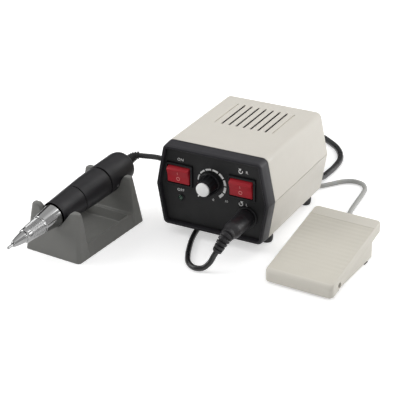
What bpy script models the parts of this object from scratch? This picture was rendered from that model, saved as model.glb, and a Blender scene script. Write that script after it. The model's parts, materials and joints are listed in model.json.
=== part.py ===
"""Electric nail drill: control box, handpiece in its cradle, and foot pedal.

Metres, +Z up. The control box faces -Y. Sizes are written in the box frame: x = 0 is
the middle of the box, y = 0 is the plane where the front bezel meets the shells, and
z = 0 is the table. The whole set is then centred on its own footprint.
"""
import math

import bmesh
import bpy
import numpy as np
from mathutils import Matrix, Vector

# Clearances shared by every piece
FIT_GAP = 0.0003
TURN_GAP = 0.0006
CUT_OVERRUN = 0.002
MERGE_DISTANCE = 0.000002
PARALLEL_LIMIT = 0.000001

# Facet and sample counts
SLEEVE_SIDES = 22
ROUND_SIDES = 16
SMALL_SIDES = 12
PIN_SIDES = 10
CORNER_STEPS = 3
CURVE_SAMPLES = 24
GAP_CHECK_SAMPLES = 400
SMOOTH_ANGLE = math.radians(35)

# Control box section: a hexagon that is widest at the seam of its two shells
BOX_DEPTH = 0.1090
BOX_TOP_Z = 0.0847
BOX_SEAM_Z = 0.0463
BOX_FLOOR_Z = 0.0080
BOX_HALF_TOP = 0.0466
BOX_HALF_SEAM = 0.0543
BOX_HALF_FLOOR = 0.0478
BOX_WALL = 0.0025
BOX_TOP_RADIUS = 0.0055
BOX_SEAM_RADIUS = 0.0040
BOX_FLOOR_RADIUS = 0.0055
SHELL_SEAM_GAP = 0.0005
REAR_LIP = 0.0020

# Air slots in the top
SLOT_COUNT = 9
SLOT_PITCH = 0.0070
SLOT_WIDTH = 0.0017
SLOT_LENGTH = 0.0460
SLOT_REAR_MARGIN = 0.0155
SLOT_REAR_Y = BOX_DEPTH - SLOT_REAR_MARGIN
SLOT_FRONT_Y = SLOT_REAR_Y - SLOT_LENGTH
SLOT_GROOVE_DEPTH = 0.0008

# Front bezel, as steps inward from the shell outline
BEZEL_DEPTH = 0.0127
BEZEL_FLARE_INSET = 0.0004
BEZEL_FLARE_Y = 0.0065
BEZEL_EDGE_INSET = 0.0008
BEZEL_EDGE_Y = 0.0110
BEZEL_RIM_INSET = 0.0016
BEZEL_OPENING_INSET = 0.0036
BEZEL_LEDGE = 0.0010
BEZEL_LEDGE_THICKNESS = 0.0025
BEZEL_TONGUE = 0.0040
BEZEL_TONGUE_WALL = 0.0014

# Front panel
PANEL_RECESS = 0.0042
PANEL_THICKNESS = 0.0020
PANEL_FACE_Y = PANEL_RECESS - BEZEL_DEPTH

# Rocker switches; their places follow the sides and the height of the bezel's opening
SWITCH_RISE_SHARE = 0.284
POWER_SWITCH_MARGIN = 0.0014
DIRECTION_SWITCH_MARGIN = 0.0061
SWITCH_FLANGE_WIDTH = 0.0257
SWITCH_FLANGE_HEIGHT = 0.0207
SWITCH_FLANGE_THICKNESS = 0.0020
SWITCH_BODY_WALL = 0.0010
SWITCH_BODY_DEPTH = 0.0140
SWITCH_POCKET_DEPTH = 0.0115
ROCKER_WIDTH = 0.0210
ROCKER_HEIGHT = 0.0140
ROCKER_END_PROUD = 0.0014
ROCKER_MIDDLE_PROUD = 0.0003
ROCKER_PIVOT_DEPTH = 0.0030
ROCKER_PIN_RADIUS = 0.0011
ROCKER_BACK_DEPTH = 0.0025
ROCKER_BACK_HEIGHT = 0.0090
ROCKER_SIDE_GAP = 0.0004
ROCKER_SWING_GAP = 0.0013
ROCKER_SWING = ROCKER_HEIGHT / 2 + ROCKER_SWING_GAP
ROCKER_TILT_DEG = 10.0
BOX_SIDE_SLOPE = (BOX_HALF_SEAM - BOX_HALF_TOP) / (BOX_TOP_Z - BOX_SEAM_Z)
SWITCH_RISE = SWITCH_RISE_SHARE * (BOX_TOP_Z - BOX_SEAM_Z)
SWITCH_Z = BOX_SEAM_Z + SWITCH_RISE
SWITCH_REACH = (
    BOX_HALF_SEAM - BOX_SIDE_SLOPE * (SWITCH_RISE + SWITCH_FLANGE_HEIGHT / 2)
    - BEZEL_OPENING_INSET * math.hypot(1, BOX_SIDE_SLOPE) - SWITCH_FLANGE_WIDTH / 2
)
POWER_SWITCH_X = POWER_SWITCH_MARGIN - SWITCH_REACH
DIRECTION_SWITCH_X = SWITCH_REACH - DIRECTION_SWITCH_MARGIN
SWITCHES = (("power", POWER_SWITCH_X), ("direction", DIRECTION_SWITCH_X))

# Speed control, a little below the middle of the switches
DIAL_X = -0.0012
DIAL_DROP = 0.0009
DIAL_Z = SWITCH_Z - DIAL_DROP
KNOB_HEIGHT = 0.0135
KNOB_BASE_RADIUS = 0.0090
KNOB_TOP_RADIUS = 0.0078
KNOB_SKIRT_RADIUS = 0.0098
KNOB_SKIRT_HEIGHT = 0.0022
KNOB_FLUTES = 14
KNOB_FLUTE_DEPTH = 0.0005
KNOB_STAND_OFF = 0.0008
KNOB_BORE_DEPTH = 0.0105
KNOB_CAP_RADIUS = 0.0061
KNOB_CAP_SEAT = 0.0012
KNOB_CAP_CROWN = 0.0018
SHAFT_RADIUS = 0.0030
BUSHING_RADIUS = 0.0035
BUSHING_PROUD = 0.0050
POT_RADIUS = 0.0082
POT_DEPTH = 0.0090
POT_NUT_RADIUS = 0.0055
POT_NUT_THICKNESS = 0.0020
POT_SHAFT_BACK = 0.0030

# Power lamp, under its switch
LAMP_OFFSET = 0.0010
LAMP_DROP = 0.0216
LAMP_X = POWER_SWITCH_X + LAMP_OFFSET
LAMP_Z = SWITCH_Z - LAMP_DROP
LAMP_RADIUS = 0.0022
LAMP_RIM_RADIUS = 0.0030
LAMP_RIM = 0.0007
LAMP_PROUD = 0.0016
LAMP_DEPTH = 0.0080

# Output socket under the other switch, and the plug in it
SOCKET_OFFSET = 0.0045
SOCKET_DROP = 0.0263
SOCKET_X = DIRECTION_SWITCH_X + SOCKET_OFFSET
SOCKET_Z = SWITCH_Z - SOCKET_DROP
SOCKET_FLANGE_RADIUS = 0.0100
SOCKET_FLANGE_THICKNESS = 0.0016
SOCKET_BODY_RADIUS = 0.0084
SOCKET_BODY_DEPTH = 0.0120
SOCKET_BORE_RADIUS = 0.0071
SOCKET_BORE_DEPTH = 0.0090
PLUG_SHELL_RADIUS = 0.0066
PLUG_SHELL_LENGTH = 0.0080
PLUG_BODY_RADIUS = 0.0079
PLUG_BODY_LENGTH = 0.0280
PLUG_SHOULDER = 0.0030
PLUG_RELIEF_RADIUS = 0.0062
PLUG_RELIEF_TIP_RADIUS = 0.0040
PLUG_RIB_RINGS = 11
PLUG_RIB_DEPTH = 0.0013
PLUG_TIP = (0.0262, -0.0530, 0.0180)
PLUG_TIP_HEADING = (-0.42, -0.30, -0.86)
BEND_REACH_SHARE = 0.38

# Rubber feet of the box
FOOT_X = 0.0400
FOOT_FRONT_Y = 0.0135
FOOT_REAR_INSET = 0.0160
FOOT_REAR_Y = BOX_DEPTH - FOOT_REAR_INSET
FOOT_TOP_RADIUS = 0.0056
FOOT_BOTTOM_RADIUS = 0.0050
FOOT_STUD_RADIUS = 0.0025
FOOT_STUD_LENGTH = 0.0024

# Rear panel and its fittings
REAR_PANEL_THICKNESS = 0.0020
GLAND_X = 0.0340
GLAND_Z = 0.0215
GLAND_NECK_RADIUS = 0.0058
GLAND_FLANGE_RADIUS = 0.0078
GLAND_FLANGE_THICKNESS = 0.0018
GLAND_TAIL_RADIUS = 0.0055
GLAND_TIP_RADIUS = 0.0043
GLAND_RIB_RINGS = 15
GLAND_RIB_DEPTH = 0.0008
GLAND_TIP_SIDE = 0.0005
GLAND_TIP_REACH = 0.0235
GLAND_TIP_DROP = 0.0117
GLAND_TIP = (GLAND_X + GLAND_TIP_SIDE, BOX_DEPTH + GLAND_TIP_REACH, GLAND_Z - GLAND_TIP_DROP)
GLAND_TIP_HEADING = (0.05, 0.82, -0.57)
JACK_X = 0.0170
JACK_Z = 0.0200
JACK_THREAD_RADIUS = 0.0030
JACK_NUT_RADIUS = 0.0048
JACK_NUT_THICKNESS = 0.0018
JACK_BODY_RADIUS = 0.0052
JACK_BODY_DEPTH = 0.0130
JACK_BORE_RADIUS = 0.0021
JACK_BORE_DEPTH = 0.0140
FUSE_X = -0.0260
FUSE_RISE_SHARE = 0.461
FUSE_Z = BOX_SEAM_Z + FUSE_RISE_SHARE * (BOX_TOP_Z - BOX_SEAM_Z)
FUSE_THREAD_RADIUS = 0.0056
FUSE_CAP_RADIUS = 0.0078
FUSE_CAP_HEIGHT = 0.0065
FUSE_BODY_DEPTH = 0.0250
FUSE_SLOT_WIDTH = 0.0016
FUSE_SLOT_DEPTH = 0.0012

# Transformer on the floor of the lower shell
CORE_X = -0.0190
CORE_REAR_GAP = 0.0490
CORE_Y = BOX_DEPTH - CORE_REAR_GAP
CORE_WIDTH = 0.0480
CORE_HEIGHT = 0.0400
CORE_STACK = 0.0240
CORE_LEG = 0.0080
WINDING_BULGE = 0.0065

# Circuit board with its rectifier capacitor and heat sink
BOARD_X = 0.0270
BOARD_FRONT_GAP = 0.0160
BOARD_REAR_GAP = 0.0290
BOARD_WIDTH = 0.0300
BOARD_LENGTH = BOX_DEPTH - BOARD_FRONT_GAP - BOARD_REAR_GAP
BOARD_Y = BOARD_FRONT_GAP + BOARD_LENGTH / 2
BOARD_THICKNESS = 0.0016
BOARD_POST_HEIGHT = 0.0055
BOARD_POST_RADIUS = 0.0026
BOARD_POST_INSET = 0.0040
CAPACITOR_RADIUS = 0.0080
CAPACITOR_HEIGHT = 0.0260
SINK_WIDTH = 0.0220
SINK_DEPTH = 0.0100
SINK_HEIGHT = 0.0240
SINK_FIN = 0.0016
SINK_FINS = 4

# Cradle of the handpiece
CRADLE_CORNER_X = -0.13865
CRADLE_CORNER_Y = -0.0926
CRADLE_WIDTH = 0.0582
CRADLE_LENGTH = 0.0958
CRADLE_YAW_DEG = -4.22
CRADLE_SIDE_HEIGHT = 0.0115
CRADLE_SIDE_DRAFT = 0.0012
CRADLE_RIM = 0.0042
CRADLE_FLOOR = 0.0025
CRADLE_END_FOOT = 0.0150
CRADLE_END_TOP = 0.0055
CRADLE_END_LEAN = 0.0070
CRADLE_NEAR_HEIGHT = 0.0424
CRADLE_FAR_HEIGHT = 0.0452
CRADLE_HORN_RADIUS = 0.0030
CRADLE_HORN_INSET = 0.0042
CRADLE_NOTCH_HALF = 0.0166
CRADLE_NOTCH_FOOT_HALF = 0.0060
CRADLE_SADDLE_BITE = 0.0020

# Handpiece: distances along its axis from the cradle's near edge, then radii
HANDPIECE_HEIGHT = 0.0366
HANDPIECE_RISE = math.radians(3.4)
HANDPIECE_LIFT = 0.0550
PIN_TIP = -0.0547
NOSE_TIP = -0.0482
NOSE_BACK = -0.0303
GRIP_FRONT = -0.0343
GRIP_BACK = -0.0131
TAPER_BACK = 0.0055
FRONT_SLEEVE_FRONT = 0.0058
FRONT_SLEEVE_BACK = 0.0354
CHUCK_SLEEVE_FRONT = 0.0362
CHUCK_SLEEVE_BACK = 0.0711
REAR_SLEEVE_FRONT = 0.0719
REAR_SLEEVE_BACK = 0.1104
PIN_RADIUS = 0.001175
NOSE_TIP_RADIUS = 0.0025
NOSE_MIDDLE_RADIUS = 0.0042
NOSE_BACK_RADIUS = 0.0050
GRIP_FRONT_RADIUS = 0.0060
GRIP_BACK_RADIUS = 0.0077
GRIP_RIBS = 6
GRIP_RIB_DEPTH = 0.0004
TAPER_FRONT_RADIUS = 0.0078
TAPER_BACK_RADIUS = 0.0103
SLEEVE_FRONT_RADIUS = 0.0114
SLEEVE_RING_1_RADIUS = 0.0129
SLEEVE_RING_2_RADIUS = 0.0141
SLEEVE_REAR_RADIUS = 0.0143
SLEEVE_REAR_SHOULDER = 0.0085
SLEEVE_WALL = 0.0016
SLEEVE_REAR_WALL = 0.0030
SPIGOT_LENGTH = 0.0080
SPINDLE_RADIUS = 0.0024
SPINDLE_FRONT = -0.0180
COLLET_FRONT = -0.0400
COLLET_RADIUS = 0.0021
BEARING_RADIUS = 0.0050
BEARING_WIDTH = 0.0045
FRONT_BEARING_AT = -0.0080
MOTOR_FRONT = 0.0404
MOTOR_BACK = 0.0960
MOTOR_CAN_WALL = 0.0018
ARMATURE_FRONT = 0.0500
ARMATURE_BACK = 0.0860
ARMATURE_RADIUS = 0.0080
ARMATURE_SLOTS = 7
ARMATURE_SLOT_DEPTH = 0.0016
BRUSH_PLATE_WIDTH = 0.0060
CHUCK_TURN_DEG = 45.0
PIN_DRAW = 0.0300
BOOT_COLLAR_RADIUS = 0.0058
BOOT_COLLAR_LENGTH = 0.0020
BOOT_NECK_RADIUS = 0.0042
BOOT_TAIL_RADIUS = 0.0050
BOOT_TIP_RADIUS = 0.0034
BOOT_RIB_RINGS = 17
BOOT_RIB_DEPTH = 0.0007
BOOT_TIP = (-0.0950, 0.0287, 0.0464)
BOOT_TIP_HEADING = (0.93, 0.36, -0.06)

# Foot pedal: u runs to the right and v to the rear from its near left corner
PEDAL_CORNER_X = 0.0695
PEDAL_CORNER_Y = -0.0525
PEDAL_WIDTH = 0.0618
PEDAL_LENGTH = 0.0915
PEDAL_YAW_DEG = -2.90
PEDAL_TOE_HEIGHT = 0.0125
PEDAL_HEEL_HEIGHT = 0.0313
PEDAL_SKIRT_TOE_Z = 0.0016
PEDAL_SKIRT_HEEL_Z = 0.0232
PEDAL_SKIN = 0.0022
PEDAL_CORNER_RADIUS = 0.0040
PEDAL_EDGE_BEVEL = 0.0014
PEDAL_PRESS_DEG = 3.0
PEDAL_HINGE_V = 0.0130
PEDAL_HINGE_Z = 0.0085
PEDAL_PIN_RADIUS = 0.0015
TREAD_SIDE_MARGIN = 0.0018
TREAD_TOE_V = 0.0080
TREAD_HEEL_V = 0.0798
TREAD_GROOVE = 0.0009
TREAD_RIBS = 16
TREAD_RIB_HEIGHT = 0.0004
BASE_INSET = 0.0030
BASE_TOE_V = 0.0040
BASE_HEEL_V = 0.0815
BASE_BOTTOM_Z = 0.0012
BASE_FLOOR = 0.0020
BASE_FLOOR_TOP = BASE_BOTTOM_Z + BASE_FLOOR
BASE_WALL = 0.0018
BASE_TOP_CLEAR = 0.0009
PEDAL_FOOT_WIDTH = 0.0060
PEDAL_FOOT_HEEL_INSET = 0.0115
PEDAL_FOOT_TOE_INSET = 0.0110
PEDAL_FOOT_HEEL_V = BASE_HEEL_V - PEDAL_FOOT_HEEL_INSET
PEDAL_FOOT_TOE_V = BASE_TOE_V + PEDAL_FOOT_TOE_INSET
PEDAL_SWITCH_V = 0.0450
PEDAL_SWITCH_LENGTH = 0.0200
PEDAL_SWITCH_WIDTH = 0.0064
PEDAL_SWITCH_TOP_CLEAR = 0.0085
PLUNGER_RADIUS = 0.0016
PLUNGER_HEAD_RADIUS = 0.0024
PLUNGER_HEAD = 0.0012
PLUNGER_SINK = 0.0050
PRESS_BOSS_RADIUS = 0.0030
SPRING_RADIUS = 0.0046
SPRING_WIRE = 0.0009
SPRING_REACH = SPRING_RADIUS + SPRING_WIRE / 2
SPRING_FRONT_GAP_SHARE = 0.27055
SPRING_SPACE_FRONT = PEDAL_SWITCH_V + PEDAL_SWITCH_LENGTH / 2
SPRING_PLAY = BASE_HEEL_V - BASE_WALL - SPRING_SPACE_FRONT - 2 * SPRING_REACH
SPRING_V = SPRING_SPACE_FRONT + SPRING_REACH + SPRING_FRONT_GAP_SHARE * SPRING_PLAY
SPRING_TURNS = 4
SPRING_STEPS_PER_TURN = 10
PEDAL_CORD_U = 0.0225
PEDAL_BOOT_Z = 0.0110
PEDAL_BOOT_RADIUS = 0.0042
PEDAL_BOOT_NECK_RADIUS = 0.0030
PEDAL_BOOT_TIP_RADIUS = 0.0029
PEDAL_BOOT_LENGTH = 0.0120
PEDAL_BOOT_RINGS = 9
PEDAL_BOOT_RIB = 0.0005
PEDAL_SLOPE = (PEDAL_HEEL_HEIGHT - PEDAL_TOE_HEIGHT) / PEDAL_LENGTH
SKIRT_SLOPE = (PEDAL_SKIRT_HEEL_Z - PEDAL_SKIRT_TOE_Z) / PEDAL_LENGTH
PRESS_SLOPE = math.tan(math.radians(PEDAL_PRESS_DEG))

# Cords
HANDPIECE_CORD_DIAMETER = 0.0048
MAINS_CORD_DIAMETER = 0.0060
PEDAL_CORD_DIAMETER = 0.0043
CORD_FLOOR_GAP = 0.0001
CORD_STEP_DIAMETERS = 2.7
CORD_LEAST_SPANS = 6
COIL_POINTS_PER_TURN = 24
COIL_TURN_GAP = 0.0006
MAINS_PLUG_TAIL = (-0.0930, 0.1750, 0.0196)
MAINS_PLUG_WIDTH = 0.0260
MAINS_PLUG_THICKNESS = 0.0130
MAINS_PLUG_LENGTH = 0.0330
MAINS_PIN_RADIUS = 0.0020
MAINS_PIN_LENGTH = 0.0190
MAINS_PIN_SPACING = 0.0190
JACK_PLUG_RADIUS = 0.0042
JACK_PLUG_LENGTH = 0.0200
JACK_PLUG_TIP_RADIUS = 0.00175
JACK_PLUG_TIP_LENGTH = 0.0130
JACK_PLUG_TAIL_LENGTH = 0.0100
JACK_PLUG_TAIL_RADIUS = 0.0027
ON_THE_CORDS = (
    "handpiece_cord", "handpiece_cord_front", "handpiece_cord_coil", "output_plug", "mains_cord",
    "mains_cord_coil", "mains_plug", "pedal_cord", "pedal_cord_coil", "pedal_jack_plug",
)

# Coils behind the box, all on the table
COILS = {
    "handpiece": {
        "centre": (-0.0860, 0.1200), "diameter": HANDPIECE_CORD_DIAMETER, "mid_diameters": 11.0,
        "turns": 5.75, "layers": 4, "start_deg": -90.0, "sense": -1,
    },
    "mains": {
        "centre": (-0.0740, 0.2080), "diameter": MAINS_CORD_DIAMETER, "mid_diameters": 11.5,
        "turns": 6.25, "layers": 2, "start_deg": 90.0, "sense": 1,
    },
    "pedal": {
        "centre": (-0.0080, 0.1660), "diameter": PEDAL_CORD_DIAMETER, "mid_diameters": 10.5,
        "turns": 8.75, "layers": 4, "start_deg": -90.0, "sense": -1,
    },
}

# Routes of the free stretches, from one fixed end to the other
LOOP_ROUTE = (
    (0.0220, -0.0565, 0.0088), (0.0170, -0.0600, 0.0038), (0.0095, -0.0608, 0.0025),
    (0.0010, -0.0555, 0.0025), (-0.0060, -0.0440, 0.0025), (-0.0120, -0.0300, 0.0025),
    (-0.0170, -0.0160, 0.0025), (-0.0205, -0.0010, 0.0025), (-0.0240, 0.0250, 0.0025),
    (-0.0330, 0.0560, 0.0025), (-0.0480, 0.0780, 0.0025), (-0.0640, 0.0870, 0.0025),
)
HANDPIECE_ROUTE = (
    (-0.0557, 0.1000, 0.0170), (-0.0562, 0.0850, 0.0150), (-0.0580, 0.0690, 0.0183),
    (-0.0615, 0.0550, 0.0268), (-0.0680, 0.0438, 0.0369), (-0.0780, 0.0364, 0.0442),
)
MAINS_ROUTE = (
    (0.0352, 0.1435, 0.0040), (0.0356, 0.1560, 0.0031), (0.0359, 0.1700, 0.0031),
    (0.0335, 0.1890, 0.0031), (0.0225, 0.2090, 0.0031), (0.0020, 0.2260, 0.0031),
    (-0.0240, 0.2410, 0.0031), (-0.0480, 0.2505, 0.0031),
)
PEDAL_ROUTE = (
    (0.0950, 0.0520, 0.0072), (0.0908, 0.0670, 0.0033), (0.0868, 0.0820, 0.0024),
    (0.0843, 0.0960, 0.0024), (0.0827, 0.1120, 0.0024), (0.0811, 0.1290, 0.0024),
    (0.0788, 0.1410, 0.0024), (0.0725, 0.1490, 0.0024), (0.0630, 0.1505, 0.0024),
    (0.0545, 0.1455, 0.0024), (0.0470, 0.1360, 0.0024), (0.0385, 0.1265, 0.0024),
    (0.0285, 0.1225, 0.0024), (0.0190, 0.1250, 0.0024), (0.0105, 0.1325, 0.0023),
)
JACK_ROUTE = ((0.0190, 0.1560, 0.0180),)
MAINS_TAIL_ROUTE = ((-0.1165, 0.1920, 0.0125), (-0.1090, 0.1800, 0.0175))

FINISHES = {
    "ivory_plastic": ((0.64, 0.60, 0.53), 0.45, 0.0),
    "charcoal_plastic": ((0.030, 0.030, 0.034), 0.42, 0.0),
    "panel_black": ((0.014, 0.014, 0.016), 0.50, 0.0),
    "switch_black": ((0.010, 0.010, 0.011), 0.35, 0.0),
    "rocker_red": ((0.46, 0.020, 0.030), 0.30, 0.0),
    "cap_white": ((0.80, 0.80, 0.78), 0.40, 0.0),
    "lamp_green": ((0.010, 0.20, 0.090), 0.15, 0.0),
    "cradle_grey": ((0.20, 0.20, 0.19), 0.50, 0.0),
    "handpiece_black": ((0.016, 0.016, 0.018), 0.38, 0.0),
    "chrome": ((0.78, 0.79, 0.81), 0.12, 1.0),
    "steel": ((0.56, 0.57, 0.58), 0.30, 1.0),
    "copper_winding": ((0.62, 0.28, 0.12), 0.35, 1.0),
    "magnet_dark": ((0.10, 0.10, 0.11), 0.50, 1.0),
    "board_green": ((0.030, 0.16, 0.070), 0.50, 0.0),
    "rubber_black": ((0.018, 0.018, 0.018), 0.75, 0.0),
    "cord_black": ((0.016, 0.016, 0.017), 0.45, 0.0),
    "cord_grey": ((0.46, 0.46, 0.44), 0.50, 0.0),
}


def finish(name):
    """Material of one finish, made once."""
    material = bpy.data.materials.get(name)
    if material is None:
        colour, roughness, metallic = FINISHES[name]
        material = bpy.data.materials.new(name)
        material.use_nodes = True
        shader = material.node_tree.nodes["Principled BSDF"]
        shader.inputs["Base Color"].default_value = (*colour, 1.0)
        shader.inputs["Roughness"].default_value = roughness
        shader.inputs["Metallic"].default_value = metallic
    return material


def empty(name, location, turn=Matrix(), parent=None):
    """An empty that carries an axis or a frame of its own."""
    holder = bpy.data.objects.new(name, None)
    bpy.context.collection.objects.link(holder)
    holder.parent = parent
    holder.matrix_local = Matrix.Translation(location) @ turn.to_4x4()
    return holder


def add(name, mesh, finish_name, parent=None, location=(0, 0, 0), turn=Matrix()):
    """An object from a mesh, smooth on its round faces."""
    body = bpy.data.objects.new(name, mesh)
    bpy.context.collection.objects.link(body)
    body.parent = parent
    body.matrix_local = Matrix.Translation(location) @ turn.to_4x4()
    mesh.materials.clear()
    mesh.materials.append(finish(finish_name))
    return body


def mesh_from(vertices, faces):
    """Closed mesh with doubled points merged and every face pointing out."""
    mesh = bpy.data.meshes.new("solid")
    mesh.from_pydata([tuple(float(c) for c in point) for point in vertices], [], faces)
    work = bmesh.new()
    work.from_mesh(mesh)
    bmesh.ops.remove_doubles(work, verts=work.verts, dist=MERGE_DISTANCE)
    bmesh.ops.recalc_face_normals(work, faces=work.faces)
    work.to_mesh(mesh)
    work.free()
    mesh.shade_smooth()
    mesh.set_sharp_from_angle(angle=SMOOTH_ANGLE)
    return mesh


def skin(loops, cyclic=False):
    """Mesh that joins equal loops in order, capped at its ends or closed on itself."""
    count = len(loops[0])
    vertices = [point for loop in loops for point in loop]
    spans = len(loops) if cyclic else len(loops) - 1
    faces = []
    for span in range(spans):
        near = span * count
        far = (span + 1) % len(loops) * count
        faces += [
            (near + k, near + (k + 1) % count, far + (k + 1) % count, far + k)
            for k in range(count)
        ]
    if not cyclic:
        last = (len(loops) - 1) * count
        faces.append(tuple(reversed(range(count))))
        faces.append(tuple(range(last, last + count)))
    return mesh_from(vertices, faces)


def circle(radius, height, sides, centre=(0, 0)):
    """Points of a level circle."""
    angles = [2 * math.pi * k / sides for k in range(sides)]
    return [
        (centre[0] + radius * math.cos(a), centre[1] + radius * math.sin(a), height)
        for a in angles
    ]


def turned(profile, sides, bored=False):
    """Solid of revolution about Z from (radius, height) points; bored ones are closed loops."""
    return skin([circle(r, z, sides) for r, z in profile], cyclic=bored)


def rod(radius, bottom, top, sides):
    """Plain round rod along Z."""
    return turned([(radius, bottom), (radius, top)], sides)


def block(low, high):
    """Box between two corners."""
    corners = [(low[0], low[1]), (high[0], low[1]), (high[0], high[1]), (low[0], high[1])]
    return skin([[(x, y, z) for x, y in corners] for z in (low[2], high[2])])


def rounded(corners, radii, steps=CORNER_STEPS):
    """Outline of a polygon whose corners are rounded by arcs of the given radii."""
    outline = []
    count = len(corners)
    for k, radius in enumerate(radii):
        corner = Vector(corners[k])
        before = (Vector(corners[k - 1]) - corner).normalized()
        after = (Vector(corners[(k + 1) % count]) - corner).normalized()
        half = before.angle(after) / 2
        reach = radius / math.tan(half)
        centre = corner + (before + after).normalized() * (radius / math.sin(half))
        start = corner + before * reach - centre
        turns_left = start.cross(corner + after * reach - centre) > 0
        sweep = (math.pi - 2 * half) * (1 if turns_left else -1)
        if radius == 0:
            outline.append(tuple(corner))
            continue
        for step in range(steps + 1):
            turn = sweep * step / steps
            outline.append((
                centre.x + start.x * math.cos(turn) - start.y * math.sin(turn),
                centre.y + start.x * math.sin(turn) + start.y * math.cos(turn),
            ))
    return outline


def upright(outline, y):
    """An (x, z) outline stood in the plane at y."""
    return [(x, y, z) for x, z in outline]


def join(target, tool, operation):
    """Boolean of two objects, applied to the first; the second is used up."""
    bpy.context.view_layer.update()
    step = target.modifiers.new(operation.lower(), "BOOLEAN")
    step.operation = operation
    step.solver = "EXACT"
    step.object = tool
    result = target.evaluated_get(bpy.context.evaluated_depsgraph_get())
    mesh = bpy.data.meshes.new_from_object(result)
    target.modifiers.clear()
    target.data = mesh
    bpy.data.objects.remove(tool)
    clean(mesh)


def clean(mesh):
    """Merges doubled points and shades the result of a boolean."""
    work = bmesh.new()
    work.from_mesh(mesh)
    bmesh.ops.remove_doubles(work, verts=work.verts, dist=MERGE_DISTANCE)
    bmesh.ops.dissolve_degenerate(work, edges=work.edges, dist=MERGE_DISTANCE)
    work.to_mesh(mesh)
    work.free()
    mesh.shade_smooth()
    mesh.set_sharp_from_angle(angle=SMOOTH_ANGLE)


def cut(target, mesh, location=(0, 0, 0), turn=Matrix(), parent=None):
    """Takes a mesh's volume away from an object."""
    join(target, add("cutter", mesh, "steel", parent, location, turn), "DIFFERENCE")


def fuse(target, mesh, location=(0, 0, 0), turn=Matrix(), parent=None):
    """Adds a mesh's volume to an object."""
    join(target, add("addition", mesh, "steel", parent, location, turn), "UNION")


TO_FRONT = Matrix.Rotation(math.radians(90), 3, "X")
TO_REAR = Matrix.Rotation(math.radians(-90), 3, "X")
TO_RIGHT = Matrix.Rotation(math.radians(90), 3, "Y")


def box_outline(inset, steps=CORNER_STEPS):
    """Rounded hexagonal section of the box, moved inward by an inset."""
    corners = [
        (BOX_HALF_FLOOR, BOX_FLOOR_Z), (BOX_HALF_SEAM, BOX_SEAM_Z), (BOX_HALF_TOP, BOX_TOP_Z),
        (-BOX_HALF_TOP, BOX_TOP_Z), (-BOX_HALF_SEAM, BOX_SEAM_Z), (-BOX_HALF_FLOOR, BOX_FLOOR_Z),
    ]
    radii = (
        BOX_FLOOR_RADIUS, BOX_SEAM_RADIUS, BOX_TOP_RADIUS, BOX_TOP_RADIUS, BOX_SEAM_RADIUS, BOX_FLOOR_RADIUS,
    )
    moved = inset_polygon(corners, inset)
    return rounded(moved, [max(r - inset, r / 3) for r in radii], steps)


def inset_polygon(corners, inset):
    """Convex polygon, listed counter-clockwise, with each side moved inward."""
    moved = []
    for k, corner in enumerate(corners):
        here = Vector(corner)
        before = (here - Vector(corners[k - 1])).normalized()
        after = (Vector(corners[(k + 1) % len(corners)]) - here).normalized()
        inward = Vector((-before.y, before.x)) + Vector((-after.y, after.x))
        moved.append(tuple(here + inward * inset / (1 + before.dot(after))))
    return moved


def prism(outline, front, rear):
    """Solid of one (x, z) outline between two planes of y."""
    return skin([upright(outline, front), upright(outline, rear)])


def half_slab(low, high):
    """Block that keeps only one half of the box's section."""
    reach = BOX_HALF_SEAM + CUT_OVERRUN
    return block((-reach, -CUT_OVERRUN, low), (reach, BOX_DEPTH + CUT_OVERRUN, high))


def make_shell(name, keep_top):
    """One shell of the box: the section on its side of the seam, with a lip round the rear."""
    shell = add(name, prism(box_outline(0), 0, BOX_DEPTH), "ivory_plastic")
    cut(shell, prism(box_outline(BOX_WALL), -CUT_OVERRUN, BOX_DEPTH - BOX_WALL))
    opening = box_outline(BOX_WALL + REAR_LIP)
    cut(shell, prism(opening, BOX_DEPTH - BOX_WALL - CUT_OVERRUN, BOX_DEPTH + CUT_OVERRUN))
    if keep_top:
        cut(shell, half_slab(BOX_FLOOR_Z - CUT_OVERRUN, BOX_SEAM_Z + SHELL_SEAM_GAP / 2))
    else:
        cut(shell, half_slab(BOX_SEAM_Z - SHELL_SEAM_GAP / 2, BOX_TOP_Z + CUT_OVERRUN))
    return shell


def make_top_shell():
    """Upper shell with its row of air slots; the outer two are only grooves."""
    shell = make_shell("top_shell", keep_top=True)
    for index in range(SLOT_COUNT):
        x = (index - (SLOT_COUNT - 1) / 2) * SLOT_PITCH
        blind = index in (0, SLOT_COUNT - 1)
        bottom = BOX_TOP_Z - (SLOT_GROOVE_DEPTH if blind else BOX_WALL + CUT_OVERRUN)
        low = (x - SLOT_WIDTH / 2, SLOT_FRONT_Y, bottom)
        high = (x + SLOT_WIDTH / 2, SLOT_REAR_Y, BOX_TOP_Z + CUT_OVERRUN)
        cut(shell, block(low, high))


def foot_places():
    """Name and (x, y) of each foot of the box."""
    return [
        (f"box_foot_{row}_{side}", (sign * FOOT_X, y))
        for row, y in (("front", FOOT_FRONT_Y), ("rear", FOOT_REAR_Y))
        for side, sign in (("left", -1), ("right", 1))
    ]


def board_posts():
    """(x, y) of the four posts under the circuit board."""
    dx = BOARD_WIDTH / 2 - BOARD_POST_INSET
    dy = BOARD_LENGTH / 2 - BOARD_POST_INSET
    return [(BOARD_X + sx * dx, BOARD_Y + sy * dy) for sx in (-1, 1) for sy in (-1, 1)]


def make_bottom_shell():
    """Lower shell with the board posts, and holes for the studs of the feet."""
    shell = make_shell("bottom_shell", keep_top=False)
    floor = BOX_FLOOR_Z + BOX_WALL
    for x, y in board_posts():
        post = rod(BOARD_POST_RADIUS, floor - BOX_WALL / 2, floor + BOARD_POST_HEIGHT, PIN_SIDES)
        fuse(shell, post, (x, y, 0))
    for _, (x, y) in foot_places():
        radius = FOOT_STUD_RADIUS + FIT_GAP
        hole = rod(radius, BOX_FLOOR_Z - CUT_OVERRUN, floor + CUT_OVERRUN, PIN_SIDES)
        cut(shell, hole, (x, y, 0))


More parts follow.
